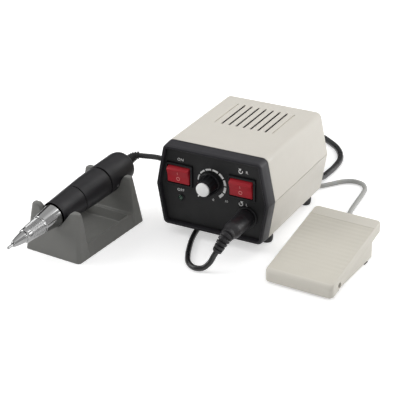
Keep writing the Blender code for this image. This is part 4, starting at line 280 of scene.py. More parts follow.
def inset_polygon(corners: Points, inset: float) -> Points:
    """Moves every side of a counter-clockwise polygon inward.

    A corner moves by inset (n1 + n2) / (1 + n1.n2), where n1 and n2 are the inward normals of
    its two sides.

    Args:
        corners: Corners of the polygon, one row each.
        inset: Distance that each side moves.

    Returns:
        The moved corners.
    """
    corners = np.asarray(corners, float)
    before = unit(corners - np.roll(corners, 1, axis=0))
    after = unit(np.roll(corners, -1, axis=0) - corners)
    normal_before = np.stack([-before[:, 1], before[:, 0]], axis=1)
    normal_after = np.stack([-after[:, 1], after[:, 0]], axis=1)
    lean = 1 + (normal_before * normal_after).sum(axis=1, keepdims=True)
    return corners + inset * (normal_before + normal_after) / lean


def fillet(corners: Points, radii: float | Sequence[float], steps: int = 6, closed: bool = True) -> Points:
    """Rounds the corners of a polyline or polygon with arcs.

    With unit directions a and b from a corner to its neighbours and half its angle h, the arc
    starts r / tan h along a and ends as far along b. Its points are the spherical blend of the
    two radii seen from the centre. A radius is held to what the shorter side can carry.

    Args:
        corners: Corners, one row each, of two or three coordinates.
        radii: One radius for all corners, or one each.
        steps: Steps along each arc.
        closed: Whether the last corner joins the first.

    Returns:
        The points in order, steps + 1 for each corner.
    """
    corners = np.asarray(corners, float)
    wanted = np.broadcast_to(np.asarray(radii, float), len(corners)).copy()
    to_last, to_next = np.roll(corners, 1, axis=0) - corners, np.roll(corners, -1, axis=0) - corners
    if not closed:
        wanted[[0, -1]] = 0.0
        to_last[0], to_next[-1] = to_next[0], to_last[-1]
    a, b = unit(to_last), unit(to_next)
    half = np.arccos(np.clip((a * b).sum(axis=1), -1.0, 1.0)) / 2
    half = np.clip(half, 1e-4, math.pi / 2 - 1e-6)
    room = 0.49 * np.minimum(np.linalg.norm(to_last, axis=1), np.linalg.norm(to_next, axis=1))
    reach = np.minimum(wanted / np.tan(half), room)
    radius = reach * np.tan(half)
    centre = unit(a + b) * (radius / np.sin(half))[:, None]
    start, end = a * reach[:, None] - centre, b * reach[:, None] - centre
    sweep = (math.pi - 2 * half)[:, None, None]
    t = np.linspace(0, 1, steps + 1)[None, :, None]
    blend = (np.sin((1 - t) * sweep) * start[:, None] + np.sin(t * sweep) * end[:, None]) / np.sin(sweep)
    return (corners[:, None] + centre[:, None] + blend).reshape(-1, corners.shape[1])


def rectangle(half_wide: float, half_high: float) -> Points:
    """Corners of a rectangle about the origin, counter-clockwise."""
    x, y = half_wide, half_high
    return np.array([(-x, -y), (x, -y), (x, y), (-x, y)])


def mesh_of(grid: Points, around: bool = True, along: bool = False, caps: bool = True) -> Mesh:
    """Closed mesh from a grid of points.

    The face at row i and column j joins the points (i, j), (i, j+1), (i+1, j+1) and (i+1, j).
    Doubled points are merged, which closes seams and poles, and faces are turned outward.

    Args:
        grid: Points as rows by columns by 3.
        around: Whether the last column joins the first.
        along: Whether the last row joins the first.
        caps: Whether an open first and last row are closed with a face.

    Returns:
        The new mesh, shaded smooth with its sharp edges kept.
    """
    rows, columns = grid.shape[:2]
    i = np.arange(rows if along else rows - 1)[:, None]
    j = np.arange(columns if around else columns - 1)[None, :]
    i_next, j_next = (i + 1) % rows, (j + 1) % columns
    corners = (i * columns + j, i * columns + j_next, i_next * columns + j_next, i_next * columns + j)
    faces = np.stack(np.broadcast_arrays(*corners), axis=-1).reshape(-1, 4).tolist()
    if caps and not along:
        faces.append(list(range(columns))[::-1])
        faces.append(list(range((rows - 1) * columns, rows * columns)))
    mesh = bpy.data.meshes.new("surface")
    mesh.from_pydata(grid.reshape(-1, 3).tolist(), [], faces)
    tidy(mesh)
    return mesh


def tidy(mesh: Mesh, turn: bool = True) -> None:
    """Merges doubled points and shades a mesh smooth, in place.

    Args:
        mesh: The mesh.
        turn: Whether its faces are turned outward too.
    """
    work = bmesh.new()
    work.from_mesh(mesh)
    bmesh.ops.remove_doubles(work, verts=work.verts, dist=MERGE)
    bmesh.ops.dissolve_degenerate(work, edges=work.edges, dist=MERGE)
    if turn:
        bmesh.ops.recalc_face_normals(work, faces=work.faces)
    work.to_mesh(mesh)
    work.free()
    mesh.shade_smooth()
    mesh.set_sharp_from_angle(angle=SMOOTH_ANGLE)


def stacked(loops: Sequence[Points], values: Sequence[float], axis: int) -> Points:
    """Grid of flat loops, each set at its own value of one coordinate."""
    return np.stack([np.insert(loop, axis, value, axis=1) for loop, value in zip(loops, values)])


def ring_grid(radius: Points, along: Points, angle: Points) -> Points:
    """Grid of the points (r cos q, r sin q, s), where r may change round a ring."""
    height = np.repeat(along[:, None], len(angle), axis=1)
    return np.stack([radius * np.cos(angle), radius * np.sin(angle), height], axis=-1)


def turned(profile: Points, place: Matrix, sides: int = 64, closed: bool = False) -> Mesh:
    """Surface of revolution.

    The point at angle q and profile row (r, s) is (r cos q, r sin q, s), carried by the place.

    Args:
        profile: Rows of (radius, distance along the axis).
        place: Takes local Z to the axis.
        sides: Steps of the full turn.
        closed: Whether the profile is a loop, as on a bored piece.

    Returns:
        The mesh in the row frame.
    """
    radius, along = np.asarray(profile, float).T
    angle = 2 * math.pi * np.arange(sides) / sides
    mesh = mesh_of(ring_grid(radius[:, None], along, angle), along=closed)
    mesh.transform(place)
    return mesh


def tube_grid(path: Points, radii: Points, sides: int, up: Sequence[float] = (0, 0, 1)) -> Points:
    """Rings carried along a path.

    Each ring is centre + r (side cos q + other sin q), where side = tangent x up and
    other = tangent x side, both of length one.

    Args:
        path: Centre points in order.
        radii: Radius at each point.
        sides: Points of a ring.
        up: Direction that the path never runs along.

    Returns:
        The grid of points, one row for each ring.
    """
    tangent = unit(np.gradient(path, axis=0))
    side = unit(np.cross(tangent, np.asarray(up, float)))
    other = np.cross(tangent, side)
    angle = 2 * math.pi * np.arange(sides) / sides
    ring = side[:, None] * np.cos(angle)[None, :, None] + other[:, None] * np.sin(angle)[None, :, None]
    return path[:, None] + ring * np.asarray(radii, float)[:, None, None]


def bent(start: Points, heading: Points, end: Points, end_heading: Points, samples: int) -> Points:
    """Cubic bend that leaves and arrives along given directions.

    The two inner control points lie the tail reach of the span ahead of the start and behind the
    end.

    Args:
        start: First point.
        heading: Direction there.
        end: Last point.
        end_heading: Direction there.
        samples: Number of points.

    Returns:
        Points along the bend.
    """
    reach = np.linalg.norm(end - start) * TAIL_REACH
    p1, p2 = start + reach * unit(heading), end - reach * unit(end_heading)
    t = np.linspace(0, 1, samples)[:, None]
    return (1 - t) ** 3 * start + 3 * (1 - t) ** 2 * t * p1 + 3 * (1 - t) * t ** 2 * p2 + t ** 3 * end


def tailed(body: Points, origin: Points, axis: Points, neck_at: float, tip: Points, heading: Sequence[float],
           radii: Points, sides: int) -> Mesh:
    """Turned body that goes over into a bent tail.

    Args:
        body: Rows of (radius, distance along the axis).
        origin: Where the axis starts.
        axis: Its direction, of length one.
        neck_at: Distance along the axis at which the bend starts.
        tip: Where the bend ends.
        heading: Direction there.
        radii: Radius at each point of the bend.
        sides: Points of a ring.

    Returns:
        The mesh in the row frame.
    """
    neck = origin + axis * neck_at
    bend = bent(neck, axis, tip, np.array(heading), len(radii))
    ring = tube_grid(np.array([neck, neck + axis * 1e-4]), np.ones(2), sides)[0] - neck
    straight = origin + axis * body[:, 1][:, None]
    front = straight[:, None] + ring[None] * body[:, 0][:, None, None]
    return mesh_of(np.vstack([front, tube_grid(bend, radii, sides)]))


def rib_share(along: Points, ribs: int, groove: float) -> Points:
    """Depth share, 0 on a rib and 1 in a groove, of evenly spaced grooves.

    Args:
        along: Places on a line from 0 to 1.
        ribs: Number of ribs on the line.
        groove: Share of the pitch that a groove takes.

    Returns:
        The share at each place.
    """
    phase = (along * ribs) % 1.0
    edge = np.minimum(phase, 1 - phase) / (groove / 2)
    return np.clip(1.5 - edge * 1.5, 0.0, 1.0)


def linked(name: str, data: bpy.types.ID) -> Piece:
    """New object of the scene that holds some data."""
    holder = bpy.data.objects.new(name, data)
    bpy.context.scene.collection.objects.link(holder)
    return holder


def show(name: str, mesh: Mesh, finish: Finish, body: str = "root", replaces: Sequence[str] = (),
         bevel: float = 0.0) -> Piece:
    """Adds a finished mesh as a piece of the set.

    Args:
        name: Name of the piece.
        mesh: Its mesh, in the row frame.
        finish: Its surface finish.
        body: Body that it moves with.
        replaces: Nodes that it stands for.
        bevel: Width of the small round along its sharp edges, or 0.

    Returns:
        The new object.
    """
    piece = linked(name, mesh)
    mesh.materials.clear()
    mesh.materials.append(finish.material())
    if bevel:
        step = piece.modifiers.new("edge", "BEVEL")
        step.width = bevel
        step.segments = 2
        step.limit_method = "ANGLE"
        step.angle_limit = SMOOTH_ANGLE
        step.harden_normals = True
    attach(piece, body)
    if replaces:
        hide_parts(*replaces)
    log.info("%s: %d faces on %s", name, len(mesh.polygons), body)
    return piece


def evaluated(holder: Piece) -> Mesh:
    """New mesh of an object with its modifiers applied."""
    bpy.context.view_layer.update()
    return bpy.data.meshes.new_from_object(holder.evaluated_get(bpy.context.evaluated_depsgraph_get()))


def boolean(mesh: Mesh, tool: Mesh, operation: str = "DIFFERENCE") -> Mesh:
    """Exact boolean of two meshes.

    Args:
        mesh: Mesh that is worked on.
        tool: Mesh that it is cut by or joined to.
        operation: Difference, union or intersection, in Blender's words.

    Returns:
        The result as a new mesh.
    """
    target, cutter = linked("target", mesh), linked("cutter", tool)
    step = target.modifiers.new("cut", "BOOLEAN")
    step.operation = operation
    step.solver = "EXACT"
    step.object = cutter
    result = evaluated(target)
    for item in (target, cutter):
        bpy.data.objects.remove(item)
    tidy(result, turn=False)
    return result


def together(meshes: Sequence[Mesh]) -> Mesh:
    """One mesh that holds several."""
    work = bmesh.new()
    for mesh in meshes:
        work.from_mesh(mesh)
    joined = bpy.data.meshes.new("group")
    work.to_mesh(joined)
    work.free()
    joined.shade_smooth()
    joined.set_sharp_from_angle(angle=SMOOTH_ANGLE)
    return joined


def slab(low: Sequence[float], high: Sequence[float], radius: float = 0.0, steps: int = 4) -> Mesh:
    """Box with its upright edges rounded.

    Args:
        low: Its lowest corner.
        high: Its highest corner.
        radius: Radius of the upright edges.
        steps: Steps along each of them.

    Returns:
        The mesh of the box.
    """
    middle = (np.array(low[:2]) + np.array(high[:2])) / 2
    half = (np.array(high[:2]) - np.array(low[:2])) / 2
    outline = fillet(rectangle(*half), radius, steps) + middle
    return mesh_of(stacked([outline, outline], (low[2], high[2]), 2))


def panel_face() -> float:
    """Plane of the front panel's face in the row frame."""
    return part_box("front_panel")[0].y


def square_place(node: str, turn: Matrix) -> Matrix:
    """Axis through the middle of a node, square to the panels."""
    low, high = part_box(node)
    middle = (low + high) / 2
    return Matrix.Translation((middle.x, 0, middle.z)) @ turn


@dataclass
class Screw:
    """Cross-head screw with a low domed head."""

    radius: float = 0.0026
    height: float = 0.0012
    slot_wide: float = 0.0006
    slot_deep: float = 0.0007
    slot_share: float = 0.62

    def mesh(self, place: Matrix) -> Mesh:
        """Head of the screw, standing along the place's Z."""
        dome = fillet([(0, 0), (self.radius, 0), (self.radius, self.height / 2), (0, self.height)],
                      [0, 0, self.height / 2, 0], 4, closed=False)
        head = turned(dome, Matrix(), 32)
        reach, half = self.radius * self.slot_share, self.slot_wide / 2
        floor = self.height - self.slot_deep
        for wide, long in ((reach, half), (half, reach)):
            head = boolean(head, slab((-wide, -long, floor), (wide, long, self.height + OVERRUN)))
        head.transform(place)
        return head


@dataclass
class ControlBox:
    """Two-part housing, front bezel, feet and housing screws."""

    depth: float = 0.1090
    top_z: float = 0.0847
    seam_z: float = 0.0463
    floor_z: float = 0.0080
    half_top: float = 0.0466
    half_seam: float = 0.0543
    half_floor: float = 0.0478
    wall: float = 0.0025
    top_radius: float = 0.0055
    seam_radius: float = 0.0040
    floor_radius: float = 0.0055
    seam_gap: float = 0.0005
    rear_lip: float = 0.0020
    lip_round: float = 0.0003
    rear_round: float = 0.0016
    edge_bevel: float = 0.0002
    slot_count: int = 9
    slot_pitch: float = 0.0070
    slot_width: float = 0.0020
    slot_front: float = 0.0475
    slot_rear: float = 0.0935
    slot_groove: float = 0.0008
    slot_skin: float = 0.0006
    bezel_depth: float = 0.0127
    screw_x: float = 0.0240
    screw_y: tuple[float, float] = (0.0135, 0.0930)
    screw_sunk: float = 0.0002
    shift: Vector = field(default_factory=Vector)

    def __post_init__(self) -> None:
        """Finds the box in the frame: its middle across, and where its shells meet the bezel."""
        low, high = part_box("top_shell")
        self.shift = Vector(((low.x + high.x) / 2, low.y, 0.0))

    def placed(self, x: float, y: float, z: float, turn: Matrix = Matrix()) -> Matrix:
        """Place in the box's own axes, with a turn."""
        return Matrix.Translation(self.shift + Vector((x, y, z))) @ turn

    def outline(self, inset: float, steps: int = 10) -> Points:
        """Rounded hexagonal section of the box in (x, z), moved inward."""
        corners = np.array([
            (self.half_floor, self.floor_z), (self.half_seam, self.seam_z), (self.half_top, self.top_z),
            (-self.half_top, self.top_z), (-self.half_seam, self.seam_z), (-self.half_floor, self.floor_z),
        ])
        radii = np.array([self.floor_radius, self.seam_radius, self.top_radius])
        radii = np.concatenate([radii, radii[::-1]])
        return fillet(inset_polygon(corners, inset), np.maximum(radii - inset, radii / 3), steps)

    def hoop(self, section: Points) -> Mesh:
        """Closed section of (inset, y) rows carried round the box's outline."""
        insets, places = np.asarray(section).T
        mesh = mesh_of(stacked([self.outline(inset) for inset in insets], places, 1), along=True)
        mesh.transform(Matrix.Translation(self.shift))
        return mesh

    def half_shell(self, keep_top: bool) -> Mesh:
        """One half of the housing, cut from the whole hoop just clear of the seam."""
        lip, inner = self.wall + self.rear_lip, self.depth - self.wall
        section = fillet([
            (0, 0), (0, self.depth), (lip, self.depth), (lip, inner), (self.wall, inner), (self.wall, 0),
        ], [0, self.rear_round, self.lip_round, 0, 0, 0], 4)
        mesh = self.hoop(section)
        side = 1 if keep_top else -1
        work = bmesh.new()
        work.from_mesh(mesh)
        cut = bmesh.ops.bisect_plane(
            work, geom=work.verts[:] + work.edges[:] + work.faces[:], dist=MERGE,
            plane_co=(0, 0, self.seam_z + side * self.seam_gap / 2), plane_no=(0, 0, side), clear_inner=True,
        )
        rim = [item for item in cut["geom_cut"] if isinstance(item, bmesh.types.BMEdge)]
        bmesh.ops.holes_fill(work, edges=rim)
        work.to_mesh(mesh)
        work.free()
        tidy(mesh)
        return mesh

    def slots(self) -> list[Mesh]:
        """Cutters of the air slots, with round ends; the outer two are only grooves.

        The corner radius stays just under half the width, so that a short flat is left at each end.
        """
        cutters = []
        last = self.slot_count - 1
        for index in range(self.slot_count):
            x = self.shift.x + (index - last / 2) * self.slot_pitch
            blind = index in (0, last)
            half = self.slot_width / (3 if blind else 2)
            bottom = self.top_z - (self.slot_groove if blind else self.wall + OVERRUN)
            low = (x - half, self.shift.y + self.slot_front, bottom)
            high = (x + half, self.shift.y + self.slot_rear, self.top_z + OVERRUN)
            cutters.append(slab(low, high, half * 0.98, 5))
        return cutters

    def build_shells(self) -> None:
        """Upper shell, thinned inside under its open slots, and lower shell."""
        half = self.slot_pitch * (self.slot_count - 2) / 2
        front, rear = self.shift.y + self.slot_front, self.shift.y + self.slot_rear
        relief = slab((self.shift.x - half, front - OVERRUN, self.top_z - self.wall - OVERRUN),
                      (self.shift.x + half, rear + OVERRUN, self.top_z - self.slot_skin), OVERRUN)
        top = boolean(self.half_shell(keep_top=True), relief)
        top = boolean(top, together(self.slots()))
        show("upper_housing", top, IVORY, replaces=["top_shell"], bevel=self.edge_bevel)
        show("lower_housing", self.half_shell(keep_top=False), IVORY, replaces=["bottom_shell"],
             bevel=self.edge_bevel)

    def build_bezel(self) -> None:
        """Front frame: two chamfered steps, a rim and a ledge round the panel."""
        face, front = panel_face() - self.shift.y, -self.bezel_depth
        section = [
            (0.0, -FIT_GAP), (0.0004, -0.0065), (0.0008, -0.0112), (0.0016, front),
            (0.0023, front), (0.0024, front + 0.0006), (0.0027, front + 0.0006), (0.0028, front),
            (0.0036, front), (0.0036, face + 0.0017), (0.0046, face + 0.0023), (0.0046, face + 0.0048),
            (0.0042, face + 0.0048), (0.0042, 0.0040), (0.0028, 0.0040), (0.0028, -FIT_GAP),
        ]
        radii = [0.0003, 0.0020, 0.0012, 0.0008, 0, 0, 0, 0, 0.0004, 0, 0, 0, 0, 0, 0, 0]
        show("bezel_frame", self.hoop(fillet(section, radii, 4)), CHARCOAL, replaces=["front_bezel"])

    def build_feet(self) -> None:
        """Rubber feet with a waisted edge and a dished sole."""
        for node in ("front_left", "front_right", "rear_left", "rear_right"):
            low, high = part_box(f"box_foot_{node}")
            centre = (low + high) / 2
            radius = (high.x - low.x) / 2
            top = self.floor_z - 0.0003
            profile = fillet([
                (0, 0.0006), (radius * 0.35, 0.0006), (radius * 0.45, 0), (radius * 0.88, 0),
                (radius, top * 0.45), (radius, top), (0, top),
            ], [0, 0.0003, 0.0004, 0.0008, 0.0012, 0.0006, 0], 4, closed=False)
            place = Matrix.Translation((centre.x, centre.y, 0))
            show(f"rubber_foot_{node}", turned(profile, place, 48), RUBBER, replaces=[f"box_foot_{node}"])

    def build_screws(self) -> None:
        """Four housing screws in the floor, beside the feet."""
        down = Matrix.Rotation(math.pi, 4, "X")
        heads = []
        for x in (-self.screw_x, self.screw_x):
            for y in self.screw_y:
                heads.append(Screw().mesh(self.placed(x, y, self.floor_z + self.screw_sunk, down)))
        show("housing_screws", together(heads), STEEL)


@dataclass
class PanelPrint:
    """White print on the panel: plain switch words, direction arrows and the dial's marks."""

    box: ControlBox
    thickness: float = 0.00006
    letter: float = 0.0036
    letter_spacing: float = 1.12
    letter_weight: float = 0.003
    figure_share: float = 0.8
    dial_x: float = -0.0016
    dial_z: float = 0.0547
    dial_radius: float = 0.0130
    dial_from_deg: float = 174.0
    dial_to_deg: float = -62.0
    dial_marks: int = 8
    dial_share: float = 0.80
    dial_narrow: float = 0.0009
    dial_growth: float = 0.0016
    dial_curve: float = 0.7

    def stood(self, flat: Mesh, x: float, z: float) -> Mesh:
        """Flat mesh stood on the panel's face, with (x, z) of the box under its origin."""
        flat.transform(Matrix.Translation((self.box.shift.x + x, panel_face(), z)) @ TO_FRONT)
        return flat

    def lettering(self, words: str, x: float, z: float, size: float) -> Mesh:
        """Plain lettering as a thin raised mesh.

        Args:
            words: What it says.
            x: Its middle across the panel, in the box's axes.
            z: Its middle's height.
            size: Height of a line.

        Returns:
            The mesh, standing on the panel.
        """
        curve = bpy.data.curves.new(words, "FONT")
        curve.body = words
        curve.size = size
        curve.align_x = "CENTER"
        curve.align_y = "CENTER"
        curve.space_character = self.letter_spacing
        curve.extrude = self.thickness
        curve.offset = size * self.letter_weight
        holder = linked(words, curve)
        mesh = evaluated(holder)
        bpy.data.objects.remove(holder)
        return self.stood(mesh, x, z)

    def strip(self, inner: Points, outer: Points) -> Mesh:
        """Thin raised strip between two lines of (x, y) points."""
        low, high = -self.thickness, self.thickness
        rows = [np.column_stack([line, np.full(len(line), height)])
                for line, height in ((inner, low), (outer, low), (outer, high), (inner, high))]
        return mesh_of(np.stack(rows, axis=1))

    def ring(self, radius: float, width: float, start: float, end: float, steps: int = 24) -> Mesh:
        """Thin raised arc; q runs from start to end and the points are radius (cos q, sin q)."""
        angle = np.linspace(math.radians(start), math.radians(end), steps)
        line = np.column_stack([np.cos(angle), np.sin(angle)])
        return self.strip(line * (radius - width / 2), line * (radius + width / 2))

    def dial(self) -> list[Mesh]:
        """Arc segments round the knob that grow wider towards full speed.

        At share t of the dial the width is narrow + growth t ^ curve.
        """
        marks = []
        step = (self.dial_to_deg - self.dial_from_deg) / self.dial_marks
        for k in range(self.dial_marks):
            start = self.dial_from_deg + k * step
            angle = np.radians(np.linspace(start, start + step * self.dial_share, 14))
            along = (self.dial_from_deg - np.degrees(angle)) / (self.dial_from_deg - self.dial_to_deg)
            width = self.dial_narrow + self.dial_growth * along ** self.dial_curve
            line = np.column_stack([np.cos(angle), np.sin(angle)])
            marks.append(self.strip(line * (self.dial_radius - width / 2)[:, None],
                                    line * (self.dial_radius + width / 2)[:, None]))
        return [self.stood(mark, self.dial_x, self.dial_z) for mark in marks]

    def arrow(self, x: float, z: float, sense: int) -> list[Mesh]:
        """Curved arrow for one direction of rotation: three quarters of a ring and a head."""
        radius, width, head = 0.0017, 0.0007, 0.0016
        start, end = 90 + sense * 40, 90 + sense * 300
        shaft = self.ring(radius, width, start, end)
        tip = math.radians(start)
        centre = radius * np.array([math.cos(tip), math.sin(tip)])
        out = np.array([math.cos(tip), math.sin(tip)])
        ahead = np.array([math.sin(tip), -math.cos(tip)]) * sense
        line = np.array([centre - out * head, centre + out * head])
        point = np.array([centre + ahead * head * 1.3, centre + ahead * head * 1.3 + out * MERGE * 4])
        return [self.stood(shaft, x, z), self.stood(self.strip(line, point), x, z)]

    def build(self) -> None:
        """All the print, as one raised layer."""
        figure = self.letter * self.figure_share
        parts = [self.lettering(*row) for row in (
            ("ON", -0.0313, 0.0709, self.letter), ("OFF", -0.0315, 0.0423, self.letter),
            ("R", 0.0318, 0.0721, self.letter), ("L", 0.0316, 0.0418, self.letter),
            ("0", 0.0000, 0.0398, figure), ("10", 0.0124, 0.0412, figure),
        )]
        parts += self.arrow(0.0260, 0.0720, 1) + self.arrow(0.0262, 0.0420, -1)
        parts += self.dial()
        show("panel_print", together(parts), PRINT)


@dataclass
class RockerSwitch:
    """Snap-in rocker switch: housing with a rounded flange, and a red rocker with its marks."""

    label: str
    joint_at: Vector
    tilt_deg: float = 10.0
    width: float = 0.0210
    pocket_half: float = 0.0083
    sweep_radius: float = 0.0080
    end_proud: float = 0.0051
    middle_proud: float = 0.0043
    back_deep: float = 0.0025
    back_high: float = 0.0090
    round: float = 0.0006
    front_round: float = 0.0080
    pocket_gap: float = 0.0004
    line_half_wide: float = 0.0002
    line_half_long: float = 0.0013

    def place(self) -> Matrix:
        """Axes of the rocker at rest: tilted about its pins."""
        return Matrix.Translation(self.joint_at) @ Matrix.Rotation(math.radians(self.tilt_deg), 4, "X")

    def front(self) -> Points:
        """Section of the rocker in (y, z).

        Its front is a shallow V. Its two ends are arcs about the pins, so that the gap to the
        housing stays the same as it tilts: at angle q from the front they are R (-cos q, sin q).
        """
        start = math.acos(self.end_proud / self.sweep_radius)
        angle = np.linspace(start, math.pi / 2, 5)
        upper = self.sweep_radius * np.column_stack([-np.cos(angle), np.sin(angle)])
        back = [(self.back_deep, -self.back_high / 2), (self.back_deep, self.back_high / 2)]
        return np.vstack([upper * (1, -1), back, upper[::-1], [(-self.middle_proud, 0)]])

    def rocker_mesh(self) -> Mesh:
        """Section carried across the rocker; near each side it is drawn in along a quarter round."""
        turn = np.linspace(0, math.pi / 2, 5)
        inset = self.round * (1 - np.sin(turn))
        side = self.width / 2 - self.round * (1 - np.cos(turn))
        across = np.concatenate([-side, side[::-1]])
        drawn = np.concatenate([inset, inset[::-1]])
        radii = [self.round, 0, 0, 0, 0, 0.0003, 0.0003, 0, 0, 0, 0, self.round, self.front_round]
        sections = [fillet(inset_polygon(self.front(), inward), radii, 5) for inward in drawn]
        mesh = mesh_of(stacked(sections, across, 0))
        mesh.transform(self.place())
        return mesh

    def marks(self, panel: PanelPrint) -> Mesh:
        """Moulded line on the upper half of the rocker and ring on the lower half."""
        right = np.array([self.line_half_wide, self.line_half_long]) * [(1, -1), (1, 1)]
        line = panel.strip(right * (-1, 1), right)
        ring = panel.ring(0.0015, 0.0005, 0, 354, 40)
        half = math.sqrt(self.sweep_radius ** 2 - self.end_proud ** 2)
        slope = math.atan2(self.end_proud - self.middle_proud, half)
        parts = []
        for mesh, z, lean in ((line, 0.0032, slope), (ring, -0.0023, -slope)):
            proud = self.middle_proud + abs(z) * math.tan(slope)
            spot = Matrix.Translation((0, -proud, z)) @ Matrix.Rotation(math.radians(90) + lean, 4, "X")
            mesh.transform(self.place() @ spot)
            parts.append(mesh)
        return together(parts)

    def housing_mesh(self) -> Mesh:
        """Rounded rectangles carried through the flange, the pocket and the body behind."""
        low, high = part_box(f"{self.label}_switch_housing")
        flange = np.array([high.x - low.x, high.z - low.z]) / 2
        pocket = np.array([self.width / 2 + self.pocket_gap, self.pocket_half])
        front, face = low.y, panel_face() - FIT_GAP
        # Each station has its half sizes, what is added to them, its corner radius and its place.
        stations = [
            (pocket, 0.0, 0.0004, front + 0.0115), (pocket, 0.0, 0.0004, front + 0.0006),
            (pocket, 0.0003, 0.0006, front), (flange, -0.0009, 0.0006, front),
            (flange, -0.0003, 0.0010, front + 0.0004), (flange, 0.0, 0.0012, front + 0.0011),
            (flange, 0.0, 0.0012, face), (pocket, 0.0010, 0.0006, face), (pocket, 0.0010, 0.0006, high.y),
        ]
        middle = (low + high) / 2
        loops = [fillet(rectangle(*(half + more)), radius, 4) + (middle.x, middle.z)
                 for half, more, radius, _ in stations]
        return mesh_of(stacked(loops, [station[3] for station in stations], 1))

    def build(self, panel: PanelPrint) -> None:
        """Housing, rocker and marks."""
        node = f"{self.label}_switch_housing"
        show(f"{self.label}_switch_frame", self.housing_mesh(), SWITCH, replaces=[node])
        body = f"{self.label}_rocker"
        show(f"{self.label}_rocker_key", self.rocker_mesh(), ROCKER, body, [body])
        show(f"{self.label}_rocker_marks", self.marks(panel), ROCKER_MARK, body)


@dataclass
class SpeedControl:
    """Fluted knob with a white cap and a white pointer."""

    box: ControlBox
    flutes: int = 14
    flute_depth: float = 0.0005
    skirt_radius: float = 0.0098
    base_radius: float = 0.0090
    top_radius: float = 0.0078
    cap_radius: float = 0.0061
    pointer_deg: float = 238.0
    pointer_half: float = 0.00045
    sides_per_flute: int = 12

    def place(self) -> Matrix:
        """Axes of the knob: Z points out of the panel."""
        return square_place("speed_knob", TO_FRONT)

    def span(self) -> tuple[float, float]:
        """Lowest and highest distance of the knob along its axis."""
        low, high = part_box("speed_knob")
        return -high.y, -low.y

    def knob_mesh(self) -> Mesh:
        """Fluted body.

        The radius at angle q is R - d (1 - cos(n q)) / 2, with n flutes of depth d; d is zero on
        the skirt and in the seat of the cap.
        """
        low, top = self.span()
        skirt = low + 0.0022
        rows = [
            (0.0061, low, 0), (self.skirt_radius - 0.0003, low, 0), (self.skirt_radius, low + 0.0003, 0),
            (self.skirt_radius, skirt - 0.0009, 0), (self.skirt_radius - 0.0003, skirt - 0.0003, 0),
            (self.skirt_radius - 0.0006, skirt, 0), (self.base_radius, skirt + 0.0001, 1),
            (self.base_radius - 0.0002, skirt + 0.0006, 1), (self.top_radius + 0.0001, top - 0.0012, 1),
            (self.top_radius - 0.0002, top - 0.0005, 1), (self.top_radius - 0.0006, top - 0.0001, 0.5),
            (self.cap_radius + 0.0004, top, 0), (self.cap_radius + 0.0002, top - 0.0004, 0),
            (self.cap_radius + 0.0002, top - 0.0012, 0),
        ]
        radius, height, depth = np.array(rows).T
        sides = self.flutes * self.sides_per_flute
        angle = 2 * math.pi * np.arange(sides) / sides
        flute = (1 - np.cos(self.flutes * angle)) / 2
        around = radius[:, None] - self.flute_depth * depth[:, None] * flute[None, :]
        mesh = mesh_of(ring_grid(around, height, angle))
        mesh.transform(self.place())
        return mesh

    def build(self) -> None:
        """Knob, cap and pointer."""
        _, top = self.span()
        place = self.place()
        show("speed_dial_knob", self.knob_mesh(), KNOB, "speed_knob", ["speed_knob"])
        rim, seat = self.cap_radius, top - 0.0009
        dome = fillet([(0, seat), (rim, seat), (rim, top + 0.0009), (rim - 0.0009, top + 0.0012),
                       (rim * 0.45, top + 0.0017), (0, top + 0.0018)],
                      [0, 0, 0.0006, 0.0010, 0.004, 0], 5, closed=False)
        show("knob_cap_white", turned(dome, place, 72), CAP, "speed_knob", ["knob_cap"])
        bar = slab((rim + 0.0005, -self.pointer_half, top - 0.0030),
                   (self.top_radius + 0.0005, self.pointer_half, top + 0.0001), 0.0002)
        bar.transform(place @ Matrix.Rotation(math.radians(self.pointer_deg), 4, "Z"))
        show("knob_pointer", bar, CAP, "speed_knob")


